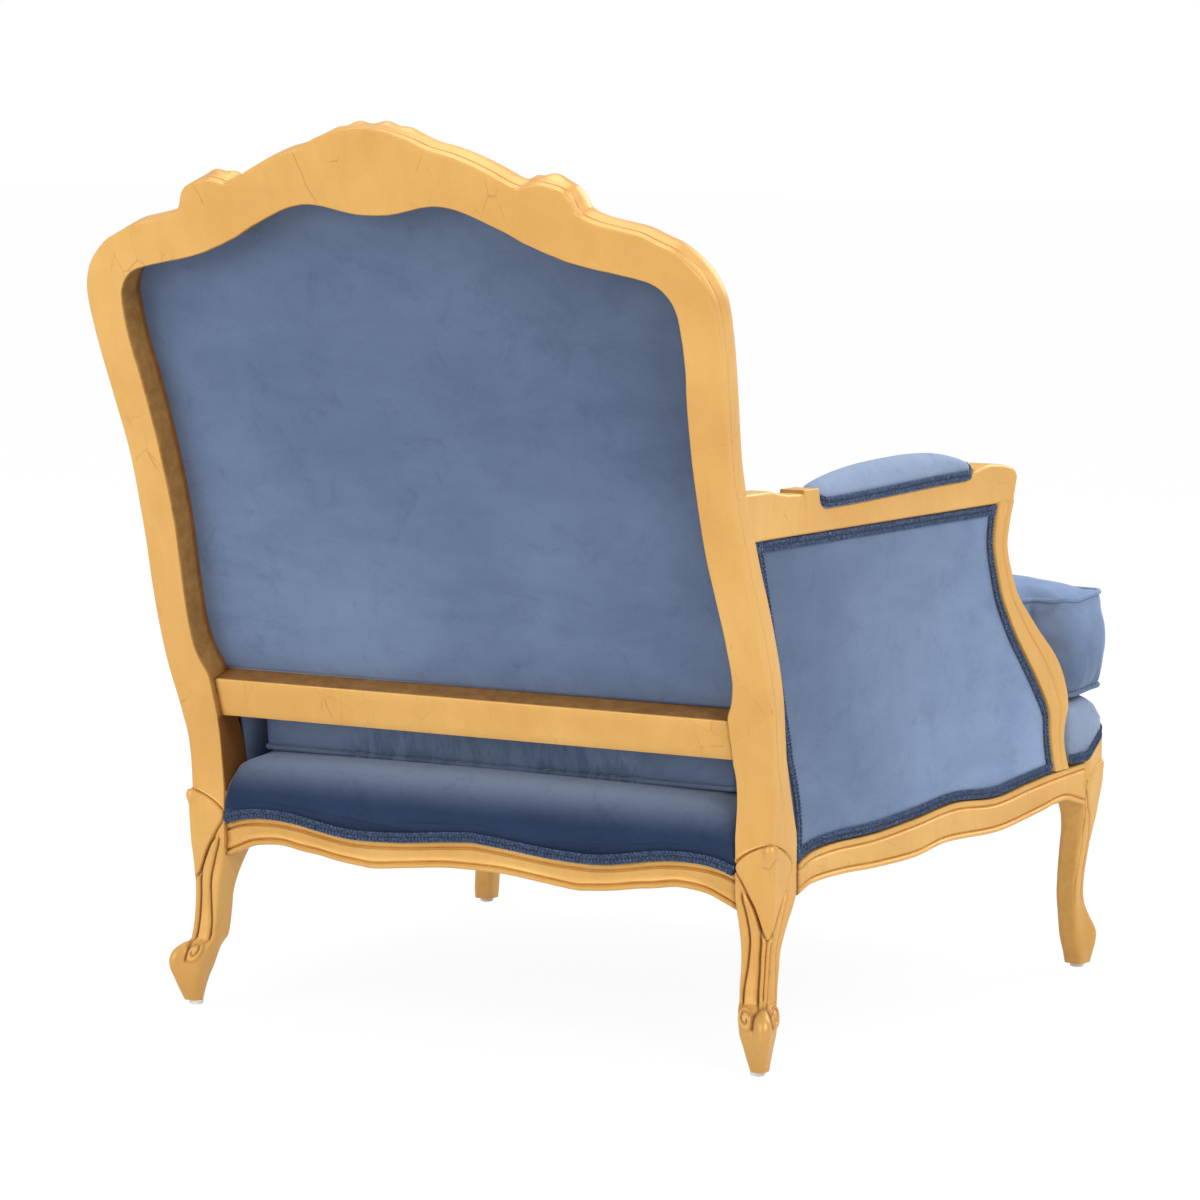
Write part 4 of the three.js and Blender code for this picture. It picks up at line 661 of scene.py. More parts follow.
def leg_grid(cx, cy, width, depth, rounding, z, toe, heading):
    """Rings of a leg from its outer corner round: the outer face, the hidden faces, the end face.
    Also each point's distance from the outer corner along a carved face, or a large number."""
    ring, reach = [], []
    counts = (FACE_POINTS, 10, 10, FACE_POINTS)
    starts = [(1, 1), (1, -1), (-1, -1), (-1, 1)]
    for s in range(4):
        a, b = starts[s], starts[(s + 1) % 4]
        for i in range(counts[s]):
            f = i / counts[s]
            x = width / 2 * lerp(a[0], b[0], f)
            y = depth / 2 * lerp(a[1], b[1], f)
            core_x = np.clip(x, -width / 2 + rounding, width / 2 - rounding)
            core_y = np.clip(y, -depth / 2 + rounding, depth / 2 - rounding)
            dx, dy = x - core_x, y - core_y
            length = np.maximum(np.hypot(dx, dy), 1e-9)
            keep = np.where(length > 1e-6, rounding / length, 0)
            px, py = core_x + dx * keep, core_y + dy * keep
            far = np.clip((px / (width / 2) + py / (depth / 2)) / 2, 0, 1) ** 2 * toe * math.sqrt(0.5)
            ring.append(np.stack([cx + px + far, cy + heading * (py + far), z], -1))
            reach.append(depth * f if s == 0 else width * (1 - f) if s == 3 else 0 * z + 99)
    return np.stack(ring, 1), np.stack(reach, 1)


def line(distance, width, depth):
    """A groove of the given depth along where distance is zero."""
    return -depth * np.exp(-(distance / width) ** 2)


def carve(rings, amount):
    return rings + ring_normals(rings) * amount[:, :, None]


LEAF_HALF = [[148, 0], [156, 6], [168, 13], [184, 21], [200, 29], [212, 36], [222, 43], [228, 45], [234, 42],
             [243, 31], [250, 18], [254, 7], [256, 0]]
PANEL_INNER = [[66, 8], [77, 8], [128, 8.5], [150, 9.5], [165, 13], [179, 18], [190, 24], [198, 31], [204, 38]]
PANEL_OUTER = [[66, 27], [78, 27], [100, 25.5], [128, 22.5], [150, 23.5], [179, 32], [192, 36.5], [204, 38]]


def knee_carving(q, z, scale=1.0, foot=62.0, lift=0.0, relief=1.0, scrolls=1.0):
    """Leaf on the knee, a groove on the corner and a raised panel beside it, an egg shaped toe and the
    volutes on both sides of it. Returns how far the wood stands out and how much brown glazing is left there."""
    q, zz = q / scale, z - lift
    half, inner, outer = (follow(table, zz.reshape(-1)).reshape(zz.shape)
                          for table in (LEAF_HALF, PANEL_INNER, PANEL_OUTER))
    inside = (zz > 148) & (zz < 256)
    edge = np.where(inside, q - half, 40)
    leaf = smooth(1.2, -2.2, edge)
    stands = leaf * (lerp(0.9, 2.2, smooth(148, 195, zz)) + 2.4 * np.exp(-(q / 9) ** 2) * smooth(175, 240, zz))
    stands += 1.0 * np.exp(-((edge - 4.6) / 2.2) ** 2) * inside
    stands += 3.2 * np.exp(-(q / 7) ** 2 - ((zz - 248) / 7) ** 2)
    cut = np.where(inside, line(edge - 1.6, 1.9, 1), 0)
    cut += line(q, 1.9, 1) * smooth(80, 88, zz) * smooth(152, 146, zz)
    spans = smooth(74, 82, zz) * smooth(204, 197, zz)
    for centre in (inner, outer):
        cut += line(q - centre, 1.9, 1) * spans
    stands += 1.3 * smooth(0.5, 4, q - inner) * smooth(0.5, 4, outer - q) * spans
    stands += 1.2 * np.exp(-((q - inner / 2) / 2.2) ** 2) * spans * (zz < 152)
    egg = np.hypot(q / 17, np.maximum(zz - foot + 6, 0) / 21)
    below = smooth(foot - 52, foot - 4, zz)
    stands += 4.2 * smooth(1.0, 0.2, egg) * below
    r = np.hypot(q - 22.5, (zz - foot - 2) * 0.78)
    turn = np.arctan2(zz - foot - 2, q - 22.5)
    spiral = np.mod(r - 3.4 * turn / math.pi - 1.2, 6.8) - 3.4
    volute = smooth(10.2, 7.6, r) * smooth(0.92, 1.08, egg) * scrolls
    stands += 3.4 * volute
    cut += line(spiral, 1.1, 1) * volute * smooth(0.8, 1.8, r) * 0.8
    cut += line((egg - 1.0) * 15, 1.7, 0.9 * scrolls) * smooth(foot - 16, foot - 2, zz) * (egg < 1.6)
    shown = np.where(q < 60, 1, 0)
    return (stands + 2.3 * cut) * shown * relief, np.clip(-cut, 0, 1) * shown


def make_rear_leg(word, side):
    z = np.linspace(FOOT, BLOCK_TOP - 5, 230)
    wide, deep, rounding, inward, forward, toe = follow(REAR_LEG, (z - FOOT) / (BLOCK_TOP - FOOT)).T
    wide, deep = 1.0012 * wide, 1.0012 * deep
    inset = 379 - (float(post_outer(BLOCK_TOP)[0]) - BLOCK_W / 2)
    rings, q = leg_grid(379 - inset * inward, -(INSET + BLOCK_D / 2) * forward, BLOCK_W * wide, BLOCK_D * deep,
                        BLOCK_W * wide * rounding, z, 13 * np.maximum(toe, 0), 1)
    amount, dark = knee_carving(q, np.broadcast_to(z[:, None], q.shape))
    glaze_and_shade = 0.44 * dark * lerp(1, 0.62, smooth(165, 205, z[:, None]))
    glaze_and_shade = glaze_and_shade + 0.14 * np.exp(-((z[:, None] - 78) / 12) ** 2)
    rings = carve(rings, amount)
    return solid(f"leg_rear_{word}", rings if side > 0 else mirrored(rings), gilt, glaze_and_shade=glaze_and_shade)


FRONT_X, FRONT_Y, FRONT_BLOCK, FRONT_BACK, FRONT_TOP, KNEE_RISE = 430, -734.5, 48, 6, 260, 30
FRONT_REAR = -FRONT_Y - FRONT_BACK - FRONT_BLOCK / 2
FRONT_FRONT = FRONT_REAR + FRONT_BLOCK


def knee_top(reach):
    return FRONT_TOP + KNEE_RISE * np.clip((reach - FRONT_REAR) / FRONT_BLOCK, 0, 1)


def make_front_leg(word, side):
    z = np.linspace(FOOT, FRONT_TOP, 210)
    size, rounding, shift, toe, on_block = follow(FRONT_LEG, (z - FOOT) / (FRONT_TOP - FOOT)).T
    move = FRONT_BLOCK * shift * math.sqrt(0.5)
    rings, q = leg_grid(FRONT_X + move + on_block, FRONT_Y - move + FRONT_BACK * on_block, FRONT_BLOCK * size,
                        FRONT_BLOCK * size, FRONT_BLOCK * size * rounding, z, 17 * np.maximum(toe, 0), -1)
    amount, dark = knee_carving(q, np.broadcast_to(z[:, None], q.shape), 1.05, foot=38, lift=4,
                                relief=0.45, scrolls=0.0)
    rings = carve(rings, amount)
    # Painted shade: the rear face of each front leg, and the inner face beside it, are browned towards the rear edge.
    behind = np.exp(-((rings[:, :, 1] - rings[:, :, 1].max(1, keepdims=True)) / 3) ** 2)
    glaze_and_shade = 0.26 * dark + 0.26 * behind * (q > 90)
    top = np.linspace(0, 1, 14)[1:, None]
    last = rings[-1]
    upper = np.repeat(last[None], len(top), 0)
    upper[:, :, 2] = FRONT_TOP + top * (knee_top(-last[None, :, 1]) - FRONT_TOP)
    rings = np.concatenate([rings, upper])
    glaze_and_shade = np.concatenate([glaze_and_shade, np.repeat(glaze_and_shade[-1:], len(top), 0)])
    piece = solid(f"leg_front_{word}", rings if side > 0 else mirrored(rings), gilt, glaze_and_shade=glaze_and_shade)
    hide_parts(f"front_leg_{word}")


# Seat rails
RAIL_BASE, EXPOSED, RAIL_TOP = 180, 46, 262
REAR_TOP = [[0, 1], [0.12, 0.93], [0.285, 0.81], [0.44, 0.76], [0.52, 0.79], [0.62, 0.9], [0.69, 0.99],
            [0.77, 1.05], [0.86, 1.05], [0.94, 0.97], [1, 0.82]]
REAR_BOTTOM = [[0, 0.26], [0.12, 0.24], [0.29, 0.11], [0.4, 0.03], [0.46, 0.06], [0.54, 0.12], [0.62, 0.22],
               [0.69, 0.28], [0.77, 0.37], [0.84, 0.35], [0.9, 0.27], [0.95, 0.12], [1, -0.04]]
SIDE_TOP = [[0, 1], [0.045, 1.2], [0.115, 1.28], [0.25, 1.26], [0.39, 1.37], [0.525, 1.52], [0.67, 1.39],
            [0.79, 1.54], [0.875, 1.64], [1, 1.74]]
SIDE_BOTTOM = [[0, 0.23], [0.045, 0.42], [0.145, 0.46], [0.25, 0.4], [0.39, 0.4], [0.495, 0.56], [0.68, 0.49],
               [0.83, 0.7], [0.925, 0.85], [1, 0.6]]
FRONT_TOP_EDGE = [[0, 1.42], [0.15, 1.36], [0.35, 1.2], [0.5, 1.2], [0.65, 1.34], [0.8, 1.52], [0.92, 1.68],
                  [1, 1.86]]
FRONT_BOTTOM = [[0, 0.1], [0.1, 0.14], [0.2, 0.32], [0.32, 0.42], [0.45, 0.34], [0.6, 0.42], [0.75, 0.66],
                [0.88, 0.8], [0.95, 0.72], [1, 0.5]]


def edge(table, share):
    return RAIL_BASE + EXPOSED * follow(table, share)


def rail_sections(low, high, top, place):
    """Rings of a seat rail. place(inset, z) gives the points for all stations at once."""
    rows = [(4, low), (2, low + 0.3), (0.5, low + 1.4), (0, low + 3)]
    for g in (low + 7, high - 8):
        rows += [(0, g - 2.6), (0.8, g - 1.7), (2.4, g - 0.6), (2.9, g), (2.4, g + 0.6), (0.8, g + 1.7), (0, g + 2.6)]
        if g is not rows and len(rows) < 14:
            mid = (low + 7 + high - 8) / 2
            span = (high - 8) - (low + 7)
            rows += [(0.5, low + 7 + span * 0.25), (1.1, mid), (0.5, low + 7 + span * 0.75)]
    rows += [(0, high - 2), (0.6, high - 0.6), (2, high), (12, high), (12, top), (42, top), (42, low * 0 + 205),
             (18, np.maximum(low + 4, 205)), (16, low + 3), (14, low)]
    return np.stack([place(a, z + 0 * low) for a, z in rows], 1)


RAIL_Y = -14.5
REAR_HALF = float(post_outer(BLOCK_TOP)[0]) - BLOCK_W - 0.3
SIDE_REAR = INSET + BLOCK_D + 0.3
FRONT_RAIL_HALF = FRONT_X + 1 - FRONT_BLOCK / 2 - 0.3


def rail_x(reach):
    return lerp(391, 452, (reach - SIDE_REAR) / (FRONT_REAR - SIDE_REAR))


def front_reach(x):
    return FRONT_FRONT - 4 + 18 * (1 - (x / FRONT_RAIL_HALF) ** 2)


def make_rails():
    x = np.linspace(-REAR_HALF, REAR_HALF, 240)
    share = np.abs(x) / REAR_HALF
    rings = rail_sections(edge(REAR_BOTTOM, share), edge(REAR_TOP, share), RAIL_TOP,
                          lambda a, z: np.stack([x, RAIL_Y - a + 0 * x, z], -1))
    ends = (0.4 * np.exp(-((REAR_HALF - np.abs(x)) / 5) ** 2) + 0.16 * smooth(REAR_HALF - 70, REAR_HALF, np.abs(x)))[:, None]
    middle = np.zeros(rings.shape[1])
    middle[11:14] = 0.04
    piece = solid("rail_rear", rings, gilt, glaze_and_shade=ends + middle + 0 * rings[:, :, 0])
    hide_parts("rear_seat_rail")
    x = np.linspace(-FRONT_RAIL_HALF, FRONT_RAIL_HALF, 280)
    share = np.abs(x) / FRONT_RAIL_HALF
    rings = rail_sections(edge(FRONT_BOTTOM, share), edge(FRONT_TOP_EDGE, share), RAIL_TOP,
                          lambda a, z: np.stack([x, a - front_reach(x), z], -1))
    piece = solid("rail_front", rings, gilt, glaze_and_shade=middle + 0 * rings[:, :, 0])
    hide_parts("front_seat_rail")
    for word, side in SIDES:
        reach = np.linspace(SIDE_REAR, FRONT_REAR - 0.3, 220)
        share = (reach - SIDE_REAR) / (FRONT_REAR - SIDE_REAR)
        rings = rail_sections(edge(SIDE_BOTTOM, share), edge(SIDE_TOP, share), 264.3,
                              lambda a, z: np.stack([side * (rail_x(reach) - a), -reach, z], -1))
        ends = 0.5 * np.exp(-((reach - SIDE_REAR) / 5) ** 2)[:, None]
        piece = solid(f"rail_side_{word}", rings, gilt, glaze_and_shade=ends + middle + 0 * rings[:, :, 0])
        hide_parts(f"side_seat_rail_{word}")


def make_lower_rail():
    half = float(post_inner(345)[0]) - 0.3
    x = np.linspace(-half, half, 90)
    rows = [(345, 10), (345.5, 8), (347, 7), (356, 7), (367, 7), (379, 7), (388, 7), (389.5, 8), (390, 10),
            (390, 26), (390, 42), (388, 43.7), (368, 43.7), (347, 43.7), (345, 42), (345, 26)]
    rings = np.stack([back_point(x, z, d) for z, d in rows], 1)
    ends = 0.75 * np.exp(-((half - np.abs(x)) / 4) ** 2)[:, None]
    # Painted shade, with brown glazing: the top face of the lower back rail, in the recess under the back panel, is
    # browned.
    top = np.zeros(len(rows))
    top[8:11] = 0.68
    piece = solid("rail_back_lower", rings, gilt, glaze_and_shade=ends + top + 0 * rings[:, :, 0])
    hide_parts("lower_back_rail")


# Arms
ARM_BOTTOM, ARM_REACH, PAD_START, PAD_END = 594, 538, 95, 437


def arm_x(reach):
    return lerp(395, 434, reach / ARM_REACH)


def arm_width(reach):
    return lerp(30, 42, smooth(0, ARM_REACH, reach))


def pad_lift(reach):
    """How far the wood under the arm pad curves up at both ends of the pad."""
    rear = np.clip(1 - (reach - PAD_START) / 17, 0, 1)
    front = np.clip(1 - (PAD_END - reach) / 18, 0, 1)
    return 17 * (1 - np.sqrt(1 - rear ** 2)) + 15 * (1 - np.sqrt(1 - front ** 2))


def pad_seat(reach):
    """Height of the wood under the arm pad."""
    return ARM_BOTTOM + 26 + 7 * smooth(PAD_START, PAD_END, reach) + pad_lift(reach)


NOSE = [[0, 0.87], [0.3, 1], [0.6, 0.98], [0.9, 0.87], [0.97, 0.8], [1, 0.7]]


def make_arm(word, side):
    stations = [(-6, 648.5, 3.5), (12, 644.2, 3.5), (32, 641, 3.5), (63, 639.6, 3.5), (63.6, 640.5, 1.5),
                (64.2, 643.5, 1.2), (94, 643.5, 1.2), (94.6, 643, 1.5), (95.2, 636.5, 2)]
    stations += [(r, float(pad_seat(r)), 2) for r in np.linspace(96, 112, 9)]
    stations += [(r, float(pad_seat(r)), 2) for r in np.linspace(126, 424, 20)]
    stations += [(r, float(pad_seat(r)), 2) for r in np.linspace(426, 436.8, 7)]
    share = np.array([0, 0.02, 0.06, 0.12, 0.2, 0.3, 0.42, 0.56, 0.7, 0.8, 0.88, 0.94, 0.975, 1])
    stations += [(437.4 + 100.6 * s, ARM_BOTTOM + 48 * up, lerp(2, 5, min(4 * s, 1)))
                 for s, up in zip(share, follow(NOSE, share))]
    stations = np.array(stations)
    fine = np.concatenate([np.linspace(a, b, 5)[:-1] if b - a > 4 else [a]
                           for a, b in zip(stations[:-1, 0], stations[1:, 0])] + [[ARM_REACH]])
    top = np.interp(fine, stations[:, 0], stations[:, 1])
    ease = np.interp(fine, stations[:, 0], stations[:, 2])
    x, width = arm_x(fine), arm_width(fine)
    rows = []
    for (cx, cz), start in (((0, 0), math.pi), ((1, 0), 1.5 * math.pi), ((1, 1), 0), ((0, 1), HALF_PI)):
        e = ease if cz else 5 + 0 * fine
        for i in range(6):
            angle = start + HALF_PI * i / 5
            u = np.where(cx, width - e, e) + e * math.cos(angle)
            v = np.where(cz, top - e, ARM_BOTTOM + e) + e * math.sin(angle)
            rows.append(np.stack([x - u, -fine, v], -1))
    rings = np.stack(rows, 1)
    slant = 12 * np.clip((fine - 437.3) / 100.7, 0, 1) ** 3
    rings[:, :, 1] += slant[:, None] * (top[:, None] - rings[:, :, 2]) / (top - ARM_BOTTOM)[:, None]
    rings[0, :, 1] = post_front(rings[0, :, 2]) + 19.5
    glaze_and_shade = 0.4 * np.exp(-((fine - 63) / 2) ** 2)[:, None] * smooth(-6, 0, rings[:, :, 2] - top[:, None])
    piece = solid(f"arm_{word}", rings if side > 0 else mirrored(rings), gilt, glaze_and_shade=glaze_and_shade, sharp=50)
    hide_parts(f"arm_rail_{word}")


SUPPORT_REAR = [[0, 1], [0.1, 0.94], [0.15, 0.92], [0.23, 0.9], [0.34, 0.717], [0.43, 0.53], [0.52, 0.34],
                [0.6, 0.2], [0.675, 0.087], [0.77, 0], [0.86, -0.058], [0.93, -0.04], [1, 0]]
SUPPORT_WIDTH = [[0, 0.54], [0.09, 0.49], [0.17, 0.57], [0.28, 0.84], [0.37, 0.99], [0.44, 1], [0.555, 0.8],
                 [0.67, 0.58], [0.77, 0.5], [0.84, 0.49], [0.91, 0.53], [0.96, 0.56], [1, 0.6]]


def side_top(reach):
    return edge(SIDE_TOP, (np.asarray(reach, float) - SIDE_REAR) / (FRONT_REAR - SIDE_REAR))


SUPPORT_BASE = FRONT_REAR - 70.5
SUPPORT_LOW = float(side_top(SUPPORT_BASE)[0]) - 0.3


def support_rear(z):
    return lerp(ARM_REACH - 42, SUPPORT_BASE, follow(SUPPORT_REAR, (np.asarray(z, float) - SUPPORT_LOW) / (ARM_BOTTOM - SUPPORT_LOW)))


def support_front(z):
    share = (np.asarray(z, float) - SUPPORT_LOW) / (ARM_BOTTOM - SUPPORT_LOW)
    return support_rear(z) + 66 * follow(SUPPORT_WIDTH, share)


def side_x(reach, z):
    top = side_top(np.asarray(reach, float).reshape(-1)).reshape(np.shape(reach))
    share = np.clip((z - top) / (ARM_BOTTOM - top), 0, 1)
    return lerp(rail_x(reach), arm_x(reach), share)


def make_support(word, side):
    z = np.linspace(258, ARM_BOTTOM + 3, 150)
    rear, front = support_rear(z), support_front(z)
    rows = [(0.0, 2), (0.6, 0.6), (2, 0)]
    middle = [(-3.2, 0), (-1.6, 0.9), (-0.5, 2.3), (0, 2.7), (0.5, 2.3), (1.6, 0.9), (3.2, 0)]
    rings = [np.stack([rear + a, b + 0 * z], -1) for a, b in rows]
    centre = lerp(rear, front, 0.5)
    rings += [np.stack([lerp(rear, centre, s), 0 * z - 0.6 * s], -1) for s in (0.3, 0.6)]
    rings += [np.stack([centre + a, b - 0.6 + 0 * z], -1) for a, b in middle]
    rings += [np.stack([lerp(centre, front, s), 0 * z - 0.6 * (1 - s)], -1) for s in (0.35, 0.65)]
    for i in range(7):
        a = HALF_PI * i / 6
        rings.append(np.stack([front - 7 + 7 * math.sin(a), 7 - 7 * math.cos(a) + 0 * z], -1))
    for i in range(7):
        a = HALF_PI * i / 6
        rings.append(np.stack([front - 7 + 7 * math.cos(a), 31 + 7 * math.sin(a) + 0 * z], -1))
    rings += [np.stack([lerp(front, rear, s), 38 + 0 * z], -1) for s in (0.3, 0.6, 0.95)]
    rings += [np.stack([rear, 36 + 0 * z], -1), np.stack([rear, 20 + 0 * z], -1)]
    flat = np.stack(rings, 1)
    x = side_x(flat[:, :, 0], z[:, None] + 0 * flat[:, :, 0]) - flat[:, :, 1]
    points = np.stack([side * x, -flat[:, :, 0], z[:, None] + 0 * x], -1)
    piece = solid(f"support_{word}", points, gilt, glaze_and_shade=0 * x)
    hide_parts(f"arm_support_{word}")


# Braid
def resample(points, step, closed):
    p = np.asarray(points, float)
    if closed:
        p = np.concatenate([p, p[:1]])
    length = np.concatenate([[0], np.cumsum(np.linalg.norm(np.diff(p, axis=0), axis=1))])
    count = max(8, int(length[-1] / step))
    t = np.linspace(0, length[-1], count + 1)
    if closed:
        t = t[:-1]
    return np.stack([np.interp(t, length, p[:, k]) for k in range(p.shape[1])], -1)


def unit(v):
    return v / np.maximum(np.linalg.norm(v, axis=-1, keepdims=True), 1e-9)


def tube(name, path, radius, material, closed=False, sides=6, body="frame", flat=1.0, out=None):
    """A cord along a path; radius may vary along it."""
    along = unit(np.roll(path, -1, 0) - np.roll(path, 1, 0)) if closed else unit(np.gradient(path, axis=0))
    if out is None:
        out = np.tile([0.0, 0.0, 1.0], (len(path), 1))
    a = unit(np.cross(along, out))
    b = np.cross(a, along)
    angles = np.linspace(0, 2 * math.pi, sides, endpoint=False)
    r = np.broadcast_to(radius, len(path))[:, None, None]
    rings = path[:, None] + r * (a[:, None] * np.cos(angles)[None, :, None]
                                 + flat * b[:, None] * np.sin(angles)[None, :, None])
    return solid(name, rings, material, closed=closed, sharp=0, body=body)


def gimp(name, middle, out, across, closed, width=12.0, nodes=()):
    """Braid of three parts: a flat ribbon, and a raised cord along each edge laid in loops.
    middle, out and across give the ribbon's centre line, its outward side and its width's direction."""
    data = resample(np.concatenate([middle, out, across], 1), 0.62, closed)
    p, o, c = data[:, :3], unit(data[:, 3:6]), unit(data[:, 6:])
    s = np.arange(len(p)) * 0.62
    rows = [(-0.5, 0.0), (-0.5, 0.7), (-0.3, 1.0), (-0.08, 0.8), (0, 0.6), (0.08, 0.8), (0.3, 1.0), (0.5, 0.7), (0.5, 0.0)]
    coarse = slice(None, None, 3)
    ripple = 0.25 * np.sin(2 * math.pi * s / 3.7)
    ribbon = np.stack([p + c * (width * 0.94 * u) + o * (h + (ripple[:, None] if abs(u) > 0.2 and h > 0.6 else 0))
                       for u, h in rows], 1)[coarse]
    # Painted shade: the braid is darkened in the dip between its two loops and along its edges.
    glaze_and_shade = np.tile([0.3, 0.2, 0.1, 0.6, 0.9, 0.6, 0.1, 0.2, 0.3], (len(ribbon), 1))
    piece = solid(name, ribbon, braid, closed=closed, sharp=0, glaze_and_shade=glaze_and_shade)
    parts = [piece]
    for k, (centre, phase) in enumerate(((0.27, 0.0), (-0.27, math.pi))):
        swing = 0.2 * np.sin(2 * math.pi * s / 4.6 + phase)
        lift = 1.3 + 0.45 * np.cos(4 * math.pi * s / 4.6)
        path = p + c * (width * (centre + swing))[:, None] + o * lift[:, None]
        parts.append(tube(f"{name}_loops_{k + 1}", path, 0.72, braid, closed, 5, out=o))
    if nodes:
        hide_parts(*nodes)
    return parts


# Velvet
def cloth_piece(name, points, faces, material, body="frame", nodes=(), subdivide=0):
    piece = raw_mesh(name, points, faces, material, 0, body)
    if nodes:
        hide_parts(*nodes)
    return piece


def oriented(points, faces):
    points = np.asarray(points, float)
    if volume_sign(points - points.mean(0), faces) < 0:
        return [f[::-1] for f in faces]
    return faces


def dome(outline, centre, levels, place):
    """Closed pad: rings drawn in from an outline to a centre. levels are rows of (share, rise)."""
    outline, centre = np.asarray(outline, float), np.asarray(centre, float)
    rings = np.stack([place(*(centre + (outline - centre) * s).T, h) for s, h in levels])
    points = rings.reshape(-1, 3)
    faces = ring_faces(len(levels), len(outline), False, True)
    return points, oriented(points, faces)


def crown(count, base, rim, height, power=2.2, start=1.0):
    """Levels of a crowned pad from its base outline to its middle."""
    rows = [(start, base), (start, base + rim * 0.6)]
    for i in range(count):
        u = 1 - (i / (count - 1)) ** 0.8 * 0.985
        rows.append((u * start, base + rim + height * (1 - u ** power) ** 0.75))
    return rows


def inner_outline(grow, count=60):
    z = np.linspace(390.3, SHOULDER, count)
    right_side = np.stack([post_inner(z) + grow, z], -1)
    curve = crest_curve(CREST_INNER, 2 * count)[::-1]
    tangent = np.gradient(curve, axis=0)
    tangent /= np.linalg.norm(tangent, axis=1, keepdims=True)
    curve = curve + np.stack([tangent[:, 1], -tangent[:, 0]], -1) * grow
    half = np.concatenate([right_side, curve[1:]])
    return np.concatenate([half, (half * (-1, 1))[::-1][1:]])


def make_back():
    outline = inner_outline(9.0)
    centre = (0, 670)
    place = lambda x, z, d: back_point(x, z, d)
    levels = [(1, 41), (1, 37.2), (0.985, 37.1), (0.96, 36.6)] + [(u, 36.4 - 2.2 * (1 - u ** 2)) for u in
                                                                 np.linspace(0.92, 0.02, 26)]
    points, faces = dome(outline, centre, levels, place)
    cloth_piece("velvet_outer_back", points, faces, velvet_back, nodes=("outer_back_panel",))
    points, faces = dome(inner_outline(11.5), centre, crown(34, 41.2, 4, 54, 2.4), place)
    points = points + (0.8 * wander(points, 160, 4) * smooth(20, 60, 374 - np.abs(points[:, 0])))[:, None] * (0, -1, 0.3)
    cloth_piece("velvet_inner_back", points, faces, velvet_side, nodes=("back_pad",))
    path = inner_outline(5.0, 120)
    centre_line = back_point(path[:, 0], path[:, 1], 48.5)
    inward = unit(np.array([0, 0, 670.0]) - np.stack([path[:, 0], 0 * path[:, 0], path[:, 1]], -1))
    normal = unit(np.tile([0, -1 / math.hypot(1, SLOPE), SLOPE / math.hypot(1, SLOPE)], (len(path), 1)) - 0.75 * inward)
    tangent = unit(np.roll(centre_line, -1, 0) - np.roll(centre_line, 1, 0))
    gimp("gimp_back_front", centre_line, normal, np.cross(normal, tangent), True, nodes=("gimp_back",))


def side_outline(rim, gap, count=40):
    rows = np.linspace(0, 1, count)
    arm_z, low_z = ARM_BOTTOM - rim, 264.3 + rim
    rear = lambda z: gap + post_reach(z)
    top = np.stack([lerp(rear(arm_z), float(support_rear(arm_z)[0]) - gap, rows), arm_z + 0 * rows], -1)
    z = lerp(arm_z, low_z, rows)[1:-1]
    front = np.stack([support_rear(z) - gap, z], -1)
    reach = lerp(float(support_rear(low_z)[0]) - gap, SIDE_REAR + gap, rows)
    low = np.stack([reach, low_z + 0 * rows], -1)
    z = lerp(low_z, arm_z, rows)[1:-1]
    return np.concatenate([top, front, low, np.stack([rear(z), z], -1)])


def panel_outline(gap):
    """The side panel as seen: its lower edge follows the side rail's shaped top."""
    outline = side_outline(0.3, gap, 60)
    low = outline[:, 1] < 265
    outline[low, 1] = side_top(outline[low, 0]) + 1.0
    return outline


def inset_loop(outline, distance):
    run_dir = np.roll(outline, -1, 0) - np.roll(outline, 1, 0)
    run_dir /= np.linalg.norm(run_dir, axis=1, keepdims=True)
    normal = np.stack([-run_dir[:, 1], run_dir[:, 0]], -1)
    middle = outline.mean(0)
    if ((middle - outline) * normal).sum() < 0:
        normal = -normal
    return outline + normal * distance, normal


def make_sides():
    for word, side in SIDES:
        outline = panel_outline(0.8)
        place = lambda r, z, h: np.stack([side * (side_x(r, z) - 10 + h), -r, z], -1)
        points, faces = dome(outline, (270, 430), crown(26, 0, 4, 4.5, 2.0), place)
        points[:, 0] += side * 0.7 * wander(points, 210, 7)
        cloth_piece(f"velvet_side_outer_{word}", points, faces, velvet_side,
                    nodes=(f"outer_side_panel_{word}",))
        line_points, normal = inset_loop(resample(outline, 3.0, True), 6.6)
        r, z = line_points.T
        centre = np.stack([side * (side_x(r, z) - 4.2), -r, z], -1)
        tangent = unit(np.roll(centre, -1, 0) - np.roll(centre, 1, 0))
        out = np.tile([float(side), 0, 0], (len(centre), 1))
        gimp(f"gimp_side_outer_{word}", centre, out, np.cross(out, tangent), True, nodes=(f"gimp_side_{word}",))
        inner = make_inner_outline()
        deep = lambda rr, zz, h: np.stack([side * (side_x(rr, np.minimum(zz, ARM_BOTTOM)) - 42.3 - h), -rr, zz], -1)
        points, faces = dome(inner, (270, 450), crown(26, 0, 4, 22, 2.4), deep)
        cloth_piece(f"velvet_side_inner_{word}", points, faces, velvet_side,
                    nodes=(f"inner_side_pad_{word}",))
        make_arm_pad(word, side)


def make_inner_outline():
    rows = np.linspace(0, 1, 30)
    top, bottom = 632, 267
    rear = lambda z: 6 - post_front(z)
    front = lambda z: support_rear(np.minimum(z, ARM_BOTTOM)) + 2
    z = lerp(top, bottom, rows)
    upper = np.stack([lerp(rear(top), float(front(top)[0]), rows), top + 0 * rows], -1)
    ahead = np.stack([front(z), z], -1)[1:-1]
    lower = np.stack([lerp(float(front(bottom)[0]), rear(bottom), rows), bottom + 0 * rows], -1)
    behind = np.stack([rear(z[::-1]), z[::-1]], -1)[1:-1]
    return np.concatenate([upper, ahead, lower, behind])


